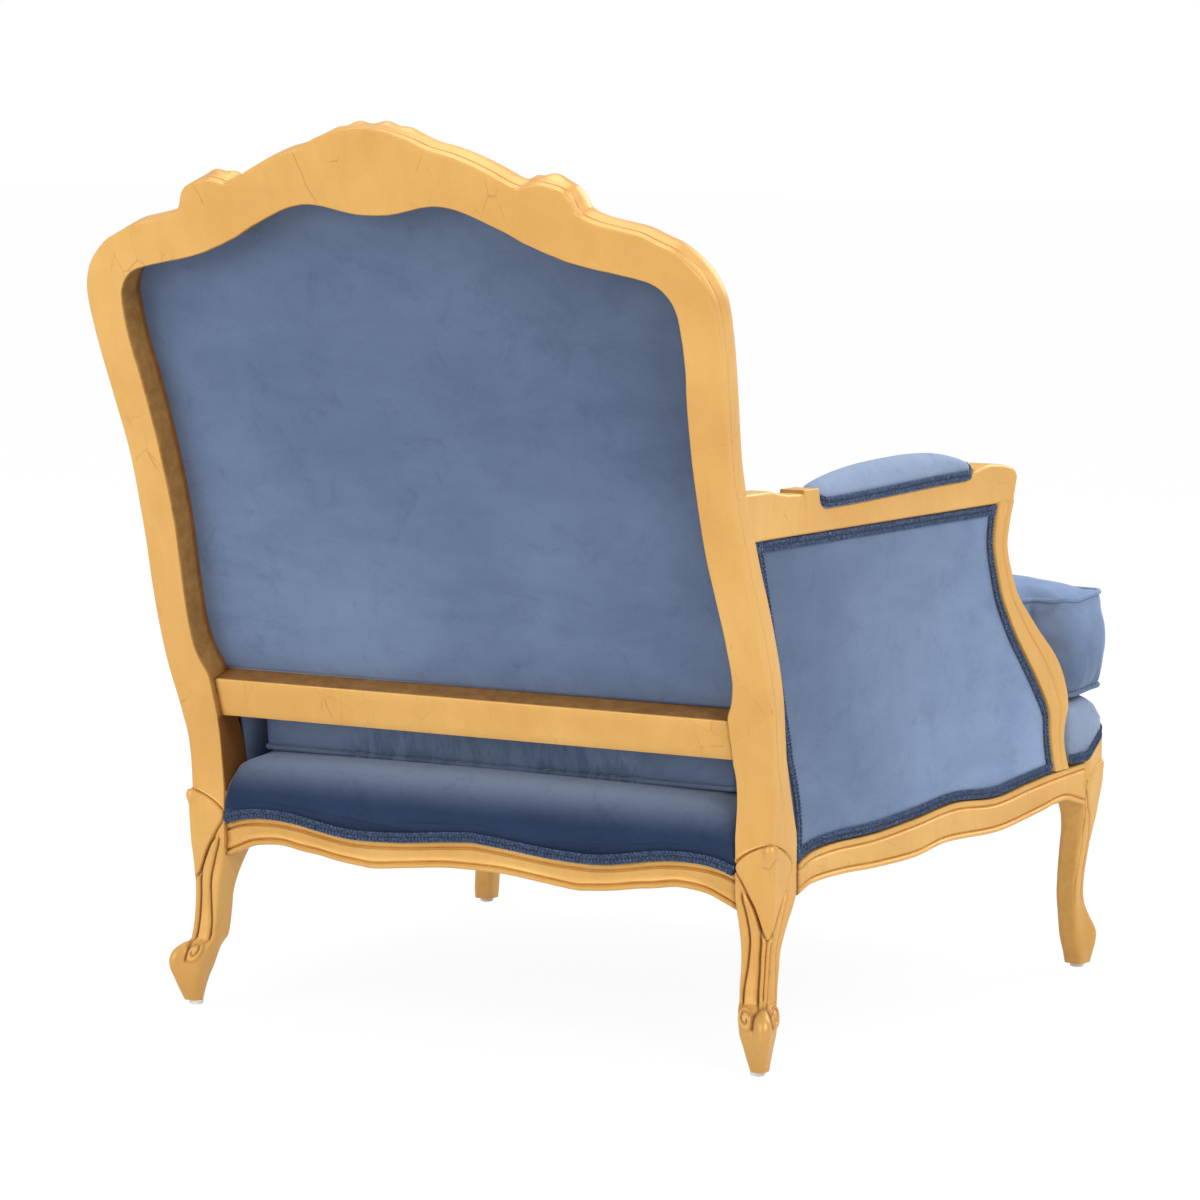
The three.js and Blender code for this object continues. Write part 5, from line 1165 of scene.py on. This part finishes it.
PAD_RISE = [[0, 0.5], [0.01, 0.6], [0.04, 0.71], [0.08, 0.79], [0.14, 0.87], [0.24, 0.95], [0.38, 1], [0.52, 1],
            [0.65, 0.97], [0.78, 0.9], [0.87, 0.8], [0.94, 0.68], [0.985, 0.54], [1, 0.42]]


def make_arm_pad(word, side):
    """Domed pad with rounded ends, and its braid along the lower edge."""
    share = 0.5 - 0.5 * np.cos(np.linspace(0, math.pi, 90))
    start, end, corner = PAD_START + 2, PAD_END - 2, 14
    reach = lerp(start, end, share)
    rise = np.maximum(41 * follow(PAD_RISE, share) - 0.8 * pad_lift(reach), 12)
    near = 1 - np.clip(np.minimum(reach - start, end - reach) / corner, 0, 1)
    half = arm_width(reach) / 2 - 0.8 - corner * (1 - np.sqrt(1 - near ** 2))
    angles = np.linspace(0, math.pi, 27)
    sections = [(1, 0, 0), (1, 0, 0.5)] + [(math.cos(a), math.sin(a) ** 0.7, 1) for a in angles] + [(-1, 0, 0.5),
                                                                                                 (-1, 0, 0)]
    rings = []
    for across, dome_share, rim in sections:
        up = 10 * rim + (rise - 10) * dome_share
        swell = 1 + 0.05 * math.sin(math.pi * dome_share) * (1 - near)
        rings.append(np.stack([side * (arm_x(reach) - arm_width(reach) / 2 + half * across * swell), -reach,
                               pad_seat(reach) + up], -1))
    rings = np.stack(rings, 1)
    points = rings.reshape(-1, 3)
    points = points + (0.35 * wander(points, 90, 11))[:, None] * (0.3 * side, 0, 1)
    faces = oriented(points, ring_faces(rings.shape[0], rings.shape[1], False, True))
    cloth_piece(f"velvet_arm_{word}", points, faces, velvet_arm, nodes=(f"arm_pad_{word}",))
    loop = []
    for (centre, turn), sign in zip(((end, 1), (end, 0), (start, -1), (start, -2)), (1, -1, -1, 1)):
        middle = centre + (corner if centre == start else -corner)
        half = float(arm_width(middle)) / 2 - corner + 0.3
        for a in np.linspace(turn * HALF_PI, (turn - 1) * HALF_PI, 8):
            loop.append((middle + (corner + 0.3) * math.cos(a), sign * half + (corner + 0.3) * math.sin(a),
                         math.cos(a), math.sin(a)))
    reach, across, ahead, outward = resample(loop, 2.0, True).T
    path = np.stack([side * (arm_x(reach) - arm_width(reach) / 2 + across), -reach, pad_seat(reach) + 6.8], -1)
    out = unit(np.stack([side * outward, -ahead, 0 * ahead], -1))
    gimp(f"gimp_arm_pad_{word}", path, out, np.tile([0.0, 0, 1], (len(path), 1)), True, nodes=(f"gimp_arm_{word}",))


# Seat
DECK_LOW = 266.9
DECK_TOP_REAR, DECK_TOP_FRONT, DECK_CORNER = 294, 342, 14
FRONT_OPEN = max(float(v) for v in support_front(np.linspace(264, 348, 30))) + 2
DECK_HALF = float(rail_x(FRONT_REAR)) + 2


def deck_half(reach):
    if reach < SIDE_REAR:
        return REAR_HALF - 0.3
    if reach < FRONT_OPEN:
        return float(rail_x(reach)) - 50
    past = min(max(reach - FRONT_FRONT + DECK_CORNER, 0) / DECK_CORNER, 1)
    return float(rail_x(min(reach, FRONT_REAR))) + 2 - DECK_CORNER * (1 - math.sqrt(1 - past ** 2))


def deck_top(reach):
    return lerp(DECK_TOP_REAR, DECK_TOP_FRONT, np.clip(reach / -FRONT_Y, 0, 1))


def make_deck():
    """The deck: rolled rear and front edges, a soft crown, and small pulls along the tacked edges."""
    spans = np.linspace(-1, 1, 121)
    rows = []
    for a in np.linspace(0, 1, 14)[1:]:
        angle = a * HALF_PI
        rows.append((10.8 + 34 * (1 - math.cos(angle)), math.sin(angle), "rear"))
    rows += [(r, 1.0, "flat") for r in (52, 58.8)] + [(r, 1.0, "flat") for r in np.linspace(61.3, FRONT_OPEN - 0.5, 26)]
    roll_start = FRONT_FRONT - 34
    rows += [(r, 1.0, "front") for r in np.linspace(FRONT_OPEN + 0.5, roll_start - 3, 8)]
    for a in np.linspace(0, 1, 18):
        angle = a * HALF_PI
        rows.append((roll_start + 34 * math.sin(angle), math.cos(angle), "front"))
    rings = []
    for reach, level, kind in rows:
        half = deck_half(reach)
        bow = 18 * smooth(700, 745, reach) if kind == "front" else 0
        x = half * spans
        top = deck_top(reach) + 6 * (1 - spans ** 2)
        inset = half * (1 - np.abs(spans))
        if kind == "rear" or reach < SIDE_REAR:
            low = edge(REAR_TOP, np.abs(x) / REAR_HALF) + 2
            roll = 1 - np.sqrt(np.clip(1 - (1 - np.clip(inset / 55, 0, 1)) ** 2, 0, 1))
            top = top - roll * 19
            z = low + (top - low) * (0.16 + 0.84 * level)
        elif kind == "flat":
            low = DECK_LOW + 0 * x
            roll = 1 - np.sqrt(np.clip(1 - (1 - np.clip(inset / 44, 0, 1)) ** 2, 0, 1))
            z = top - roll * 20
        else:
            rail_low = edge(FRONT_TOP_EDGE, np.minimum(np.abs(x) / FRONT_RAIL_HALF, 1)) + 2
            knee = knee_top(reach + bow * (1 - spans ** 2)) + 2
            low = np.where(np.abs(x) > FRONT_RAIL_HALF, knee, rail_low)
            if reach < 745:
                low = np.maximum(low, DECK_LOW)
            roll = 1 - np.sqrt(np.clip(1 - (1 - np.clip(inset / 34, 0, 1)) ** 2, 0, 1))
            top = top - roll * 22
            z = low + (top - low) * (0.2 + 0.8 * level)
        y = -(reach + bow * (1 - spans ** 2))
        upper = np.stack([x, y, z], -1)
        lower = np.stack([x[::-1], y[::-1], low[::-1]], -1)
        if abs(reach - FRONT_OPEN - 0.5) < 0.1:
            for row in (upper, lower):
                beside = np.abs(row[:, 0]) > 400
                row[beside, 1] = np.maximum(row[beside, 1], -support_front(row[beside, 2]) - 1.5)
                row[beside, 0] -= np.sign(row[beside, 0]) * 2.5 * smooth(440, 452, np.abs(row[beside, 0]))
        rings.append(np.concatenate([upper, lower[::8]]))
    rings = np.stack(rings)
    points = rings.reshape(-1, 3)
    pull = np.exp(-((points[:, 2] - 236) / 22) ** 2)
    points[:, 1] += 0.9 * pull * np.sin(points[:, 0] / 9 + 1.5 * np.sin(points[:, 0] / 41)) * (points[:, 1] > -60)
    faces = oriented(points, ring_faces(rings.shape[0], rings.shape[1], False, True))
    cloth_piece("velvet_deck_cover", points, faces, velvet_deck, nodes=("seat_deck",))
    x = np.linspace(-REAR_HALF + 1, REAR_HALF - 1, 220)
    centre = np.stack([x, -9.4 + 0 * x, edge(REAR_TOP, np.abs(x) / REAR_HALF) + 5.2], -1)
    tangent = unit(np.gradient(centre, axis=0))
    out = np.tile([0.0, 1, 0], (len(x), 1))
    gimp("gimp_deck_rear", centre, out, np.cross(out, tangent), False, nodes=("gimp_seat_rear",))
    make_front_gimp()


def make_front_gimp():
    """Braid from an arm support forward over the knee, round the corner and along the front."""
    edge_x, turn = DECK_HALF + 0.4, DECK_CORNER + 0.4
    start = float(support_front(272)[0]) + 1.5
    reach = np.linspace(start, FRONT_FRONT - DECK_CORNER, 30)
    out_of_rail = 2.4 - 2.2 * smooth(start + 22, start, reach)
    sides = np.stack([rail_x(np.minimum(reach, FRONT_REAR)) + out_of_rail, reach, 1 + 0 * reach, 0 * reach], -1)
    angles = np.linspace(0, HALF_PI, 10)[1:-1]
    corner = np.stack([edge_x - turn + turn * np.cos(angles), FRONT_FRONT - DECK_CORNER + turn * np.sin(angles),
                       np.cos(angles), np.sin(angles)], -1)
    x = np.linspace(edge_x - turn, 0, 130)
    across = np.stack([x, FRONT_FRONT + 0.4 + 0 * x, 0 * x, 1 + 0 * x], -1)
    x, reach, out_x, out_y = np.concatenate([sides, corner, across]).T
    reach = reach + 18 * (1 - (x / DECK_HALF) ** 2) * out_y
    rail = edge(FRONT_TOP_EDGE, np.minimum(x / FRONT_RAIL_HALF, 1))
    low = lerp(rail, knee_top(reach), smooth(FRONT_RAIL_HALF - 14, FRONT_RAIL_HALF + 4, x))
    half = np.stack([x, -reach, low + 9], -1)
    half_out = np.stack([out_x, -out_y, 0 * x], -1)
    path = np.concatenate([half, mirrored(half[:-1][::-1])])
    outward = np.concatenate([half_out, mirrored(half_out[:-1][::-1])])
    tangent = unit(np.gradient(path, axis=0))
    gimp("gimp_deck_front", path, outward, np.cross(outward, tangent), False, nodes=("gimp_seat_front",))


CUSHION_REAR, EAR_LENGTH, NOTCH, NOTCH_FLARE, EAR_HALF, THICKNESS = 62, 102, 366, 24, 443, 116
EAR_START = FRONT_OPEN
EAR_ROUND = 20
CUSHION_FRONT = EAR_START + EAR_LENGTH


def half_at(reach):
    """Half width of the cushion, without the rounding of its ears."""
    share = min((reach - CUSHION_REAR) / (EAR_START - CUSHION_REAR), 1)
    flare = NOTCH_FLARE * float(smooth(EAR_START - 60, EAR_START, reach)) ** 2
    return lerp(316, NOTCH, share) - 6 * math.sin(math.pi * share) + flare if reach < EAR_START + 1 else EAR_HALF


def cushion_bottom(reach):
    return deck_top(reach) + 6.3


def cushion_grid(step=8.0):
    """Cushion shell as a grid: top and bottom panels joined by a boxing. Returns points, faces, and
    the loops of the upper and lower seams."""
    columns = int(2 * 340 / step)
    u = np.linspace(-1, 1, columns + 1)
    ear = int((EAR_HALF - NOTCH - NOTCH_FLARE) / step) + 1
    rear_rows = int((EAR_START - CUSHION_REAR) / step)
    front_rows = int(EAR_LENGTH / step)
    reaches = np.concatenate([np.linspace(CUSHION_REAR, EAR_START, rear_rows + 1),
                              np.linspace(EAR_START, CUSHION_FRONT, front_rows + 1)[1:]])
    ids, points, seam = {}, [], []

    def place(i, j):
        reach = reaches[i]
        share = (reach - CUSHION_REAR) / (EAR_START - CUSHION_REAR)
        flare = NOTCH_FLARE * float(smooth(EAR_START - 60, EAR_START, reach)) ** 2
        half = lerp(316, NOTCH, min(share, 1)) - 6 * math.sin(math.pi * min(share, 1)) + flare
        if 0 <= j - ear <= columns:
            x = half * u[j - ear]
        else:
            beyond = (ear - j) if j < ear else (j - ear - columns)
            x = (half + (EAR_HALF - half) * beyond / ear) * (-1 if j < ear else 1)
        bow = 12 * smooth(EAR_START - 60, CUSHION_FRONT, reach) * (1 - (x / EAR_HALF) ** 2)
        for place_of, sign in ((CUSHION_FRONT, 1), (EAR_START, -1)):
            a = (abs(x) - EAR_HALF + EAR_ROUND) / EAR_ROUND
            b = (sign * (reach - place_of) + EAR_ROUND) / EAR_ROUND
            if a > 0 and b > 0 and reach >= EAR_START - 1:
                x = math.copysign(EAR_HALF - EAR_ROUND + EAR_ROUND * a * math.sqrt(1 - b * b / 2), x)
                reach = place_of + sign * EAR_ROUND * (b * math.sqrt(1 - a * a / 2) - 1)
        return x, reach + float(bow)

    total = columns + 2 * ear
    inside = lambda i, j: (ear <= j <= ear + columns) or i >= rear_rows
    for i in range(len(reaches)):
        for j in range(total + 1):
            if inside(i, j):
                ids[i, j] = len(points)
                x, reach = place(i, j)
                points.append((x, -reach, 0.0))
    cells = []
    for i in range(len(reaches) - 1):
        for j in range(total):
            corners = [(i, j), (i, j + 1), (i + 1, j + 1), (i + 1, j)]
            if all(k in ids for k in corners) and (i >= rear_rows or ear <= j < ear + columns):
                cells.append([ids[k] for k in corners])
    count = {}
    for cell in cells:
        for a, b in zip(cell, cell[1:] + cell[:1]):
            count[a, b] = True
    border = {a: b for a, b in count if (b, a) not in count}
    loop = [next(iter(border))]
    while border[loop[-1]] != loop[0]:
        loop.append(border[loop[-1]])
    flat = np.array(points)
    n = len(flat)
    reach = -flat[:, 1]
    bottom = cushion_bottom(reach)
    low, high = flat.copy(), flat.copy()
    along = np.clip((reach - CUSHION_REAR) / (CUSHION_FRONT - CUSHION_REAR), 0, 1)
    width = [half_at(r) for r in reach]
    crown_share = (1 - (2 * along - 1) ** 8) * np.clip(1 - (flat[:, 0] / width) ** 8, 0, 1)
    low[:, 2], high[:, 2] = bottom + 1, bottom + THICKNESS + 22 * crown_share
    everything = [high, low]
    faces = [c for c in cells] + [[v + n for v in c[::-1]] for c in cells]
    levels = 12
    edge_points = flat[loop]
    previous = np.array(loop)
    start = 2 * n
    along = np.roll(edge_points, -1, 0) - np.roll(edge_points, 1, 0)
    outward = unit(np.stack([along[:, 1], -along[:, 0], 0 * along[:, 0]], -1))
    if (outward * (edge_points - edge_points.mean(0))).sum() < 0:
        outward = -outward
    free = (edge_points[:, 1] < -EAR_START - 4) & (outward[:, 1] < 0.6)
    swell = np.where(free, 8.0, 2.0)[:, None]
    for k in range(1, levels):
        s = k / levels
        ring = edge_points + outward * swell * math.sin(math.pi * s) ** 0.8
        ring[:, 2] = lerp(high[loop, 2], low[loop, 2], s)
        everything.append(ring)
        current = start + np.arange(len(loop))
        for m in range(len(loop)):
            q = (m + 1) % len(loop)
            faces.append([int(previous[m]), int(current[m]), int(current[q]), int(previous[q])])
        previous = current
        start += len(loop)
    for m in range(len(loop)):
        q = (m + 1) % len(loop)
        faces.append([int(previous[m]), loop[m] + n, loop[q] + n, int(previous[q])])
    points = np.concatenate(everything)
    return points, oriented(points, faces), np.array(loop), np.array(loop) + n


def make_cushion():
    points, faces, upper, lower = cushion_grid()
    rest = points.copy()
    piece = raw_mesh("velvet_cushion", points, faces, velvet_cushion, 0, "cushion")
    inflate(piece, np.concatenate([upper, lower]))
    count = len(piece.data.vertices)
    co = np.zeros(count * 3)
    piece.data.vertices.foreach_get("co", co)
    co = co.reshape(-1, 3)
    made = (co - (0, SHIFT, 0)) * 1000
    move = made - rest
    length = np.linalg.norm(move, axis=1, keepdims=True)
    made = rest + move * np.minimum(1, 12 / np.maximum(length, 1e-9))
    made[:, 2] = np.maximum(made[:, 2], cushion_bottom(-made[:, 1]) - 0.5 + 0.0)
    piece.data.vertices.foreach_set("co", to_row(made).reshape(-1))
    piece.data.update()
    modifier = piece.modifiers.new("fine", "SUBSURF")
    modifier.levels = modifier.render_levels = 1
    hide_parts("seat_cushion")
    for word, loop in (("upper", upper), ("lower", lower)):
        path = resample(made[loop], 4.0, True)
        for _ in range(2):
            path = (np.roll(path, 1, 0) + 2 * path + np.roll(path, -1, 0)) / 4
        middle = made.mean(0)
        outward = unit((path - middle) * (1, 1, 0))
        path = path + outward * 1.2
        cord = tube(f"piping_{word}", path, 3.1, velvet_cushion, True, 10, body="cushion")


def inflate(piece, pinned):
    """Cloth under pressure: the panels swell between the sewn edges, which hold their place."""
    scene = bpy.context.scene
    group = piece.vertex_groups.new(name="seams")
    group.add([int(v) for v in pinned], 1.0, "REPLACE")
    modifier = piece.modifiers.new("cloth", "CLOTH")
    settings = modifier.settings
    settings.quality = 6
    settings.mass = 0.25
    settings.tension_stiffness = settings.compression_stiffness = 12
    settings.shear_stiffness = 8
    settings.bending_stiffness = 0.5
    settings.use_pressure = True
    settings.uniform_pressure_force = 3.0
    settings.shrink_min = -0.02
    settings.vertex_group_mass = "seams"
    settings.pin_stiffness = 1.0
    settings.effector_weights.gravity = 0.0
    modifier.collision_settings.use_collision = False
    modifier.collision_settings.use_self_collision = False
    modifier.point_cache.frame_start, modifier.point_cache.frame_end = 1, 20
    for number in range(1, 21):
        scene.frame_set(number)
    graph = bpy.context.evaluated_depsgraph_get()
    result = piece.evaluated_get(graph).to_mesh()
    co = np.zeros(len(result.vertices) * 3)
    result.vertices.foreach_get("co", co)
    piece.evaluated_get(graph).to_mesh_clear()
    piece.modifiers.remove(modifier)
    piece.data.vertices.foreach_set("co", co)
    piece.data.update()
    scene.frame_set(1)


def make_glides():
    for word, side in SIDES:
        for end, x, y in (("rear", 379, 0), ("front", FRONT_X, FRONT_Y)):
            angles = np.linspace(0, 2 * math.pi, 40, endpoint=False)
            rows = [(0.5, 0), (6.8, 0), (7.7, 0.3), (8.3, 1), (8.5, 2), (8.5, 5.1), (0.5, 5.2)]
            rings = np.stack([np.stack([side * x + r * np.cos(angles), y + r * np.sin(angles), z + 0 * angles], -1)
                              for r, z in rows])
            piece = solid(f"foot_glide_{end}_{word}", rings, nylon, sharp=45)
            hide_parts(f"glide_{end}_{word}")


def dress_hidden():
    """Straps, dust cover and corner blocks keep their solids or thin sagging covers of them."""
    for name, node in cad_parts.items():
        if name.startswith("corner_block"):
            node.data.materials.clear()
            node.data.materials.append(beech)
        elif name.startswith("seat_web"):
            low, high = (np.array(v) * 1000 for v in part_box(name))
            low[1], high[1] = low[1] - SHIFT * 1000, high[1] - SHIFT * 1000
            lengthwise = "lengthwise" in name
            t = np.linspace(0, 1, 40)
            a, b = (low[1], high[1]) if lengthwise else (low[0], high[0])
            run_line = lerp(a, b, t)
            sag = -3.0 * np.sin(math.pi * t) ** 2 * (1 if lengthwise else 0.4)
            rows = []
            for u, h in ((0, 0), (0, 1.6), (0.25, 1.9), (0.5, 1.9), (0.75, 1.9), (1, 1.6), (1, 0), (0.5, 0)):
                cross = lerp(low[0], high[0], u) if lengthwise else lerp(low[1], high[1], u)
                z = low[2] + h + sag
                rows.append(np.stack([cross + 0 * t, run_line, z] if lengthwise else [run_line, cross + 0 * t, z], -1))
            piece = solid(f"strap_{name[9:]}", np.stack(rows, 1), jute, sharp=0)
            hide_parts(name)
        elif name == "dust_cover":
            low, high = (np.array(v) * 1000 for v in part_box(name))
            y = SHIFT * 1000
            outline = np.array([[-312, low[1] - y], [-409, low[1] - y + 30], [-356, high[1] - y - 30], [-312, high[1] - y],
                                [312, high[1] - y], [356, high[1] - y - 30], [409, low[1] - y + 30], [312, low[1] - y]])
            outline = resample(outline, 14, True)
            place = lambda a, b, h: np.stack([a, b, low[2] + h + 0 * a], -1)
            levels = [(1, 1.4), (1, 0)] + [(u, -1.2 * (1 - u ** 2)) for u in np.linspace(0.97, 0.03, 18)]
            points, faces = dome(outline, (0, (low[1] + high[1]) / 2 - y), levels, place)
            piece = raw_mesh("under_cover", points, faces, cambric, 0)
            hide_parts(name)


for word, side in SIDES:
    post = make_post(word, side)
    leg = make_rear_leg(word, side)
    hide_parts(f"rear_post_{word}")
    make_front_leg(word, side)
    make_arm(word, side)
    make_support(word, side)
make_crest()
make_rails()
make_lower_rail()
make_back()
make_sides()
make_deck()
make_cushion()
make_glides()
dress_hidden()


# Stage
def white_floor():
    material = bpy.data.materials.new("floor")
    material.use_nodes = True
    nodes, links = material.node_tree.nodes, material.node_tree.links
    nodes.clear()
    out = nodes.new("ShaderNodeOutputMaterial")
    mix = nodes.new("ShaderNodeMixShader")
    diffuse = nodes.new("ShaderNodeBsdfDiffuse")
    glow = nodes.new("ShaderNodeEmission")
    path = nodes.new("ShaderNodeLightPath")
    diffuse.inputs["Color"].default_value = (0.9, 0.9, 0.9, 1)
    glow.inputs["Strength"].default_value = 1.04
    seen = nodes.new("ShaderNodeMath")
    seen.operation = "MAXIMUM"
    links.new(path.outputs["Is Camera Ray"], seen.inputs[0])
    links.new(path.outputs["Is Glossy Ray"], seen.inputs[1])
    also = nodes.new("ShaderNodeMath")
    also.operation = "MAXIMUM"
    links.new(seen.outputs[0], also.inputs[0])
    links.new(path.outputs["Is Transmission Ray"], also.inputs[1])
    share = nodes.new("ShaderNodeMath")
    share.operation = "MULTIPLY"
    links.new(also.outputs[0], share.inputs[0])
    share.inputs[1].default_value = 0.9
    links.new(share.outputs[0], mix.inputs[0])
    links.new(diffuse.outputs[0], mix.inputs[1])
    links.new(glow.outputs[0], mix.inputs[2])
    links.new(mix.outputs[0], out.inputs["Surface"])
    return material


floor_mesh = bpy.data.meshes.new("floor")
floor_mesh.from_pydata([(-30, -30, 0), (30, -30, 0), (30, 30, 0), (-30, 30, 0)], [], [(0, 1, 2, 3)])
floor_mesh.materials.append(white_floor())
floor = bpy.data.objects.new("floor", floor_mesh)
bpy.context.scene.collection.objects.link(floor)

world = bpy.data.worlds.new("world")
bpy.context.scene.world = world
world.use_nodes = True
nodes, links = world.node_tree.nodes, world.node_tree.links
nodes.clear()
out = nodes.new("ShaderNodeOutputWorld")
lit, seen_white = nodes.new("ShaderNodeBackground"), nodes.new("ShaderNodeBackground")
lit.inputs["Color"].default_value = (1, 1, 1, 1)
lit.inputs["Strength"].default_value = 0.62
seen_white.inputs["Strength"].default_value = 1.0
seen_white.inputs["Color"].default_value = (1, 1, 1, 1)
mix = nodes.new("ShaderNodeMixShader")
path = nodes.new("ShaderNodeLightPath")
seen = nodes.new("ShaderNodeMath")
seen.operation = "MAXIMUM"
links.new(path.outputs["Is Camera Ray"], seen.inputs[0])
links.new(path.outputs["Is Transmission Ray"], seen.inputs[1])
links.new(seen.outputs[0], mix.inputs[0])
links.new(lit.outputs[0], mix.inputs[1])
links.new(seen_white.outputs[0], mix.inputs[2])
links.new(mix.outputs[0], out.inputs["Surface"])


def lamp(name, place, target, size, power):
    data = bpy.data.lights.new(name, "AREA")
    data.shape = "DISK"
    data.size = size
    data.energy = power
    obj = bpy.data.objects.new(name, data)
    obj.location = place
    obj.rotation_euler = (Vector(target) - Vector(place)).to_track_quat("-Z", "Y").to_euler()
    bpy.context.scene.collection.objects.link(obj)


lamp("key", (-3.6, 2.2, 3.4), (0, 0, 0.5), 2.4, 88)
lamp("fill", (2.2, 3.8, 2.0), (0, 0, 0.5), 2.6, 52)
lamp("front", (-1.2, -3.6, 2.6), (0, 0, 0.5), 2.6, 60)
lamp("top", (0.4, -0.6, 4.2), (0, 0, 0.4), 2.8, 60)

bpy.context.scene.view_settings.view_transform = "Standard"
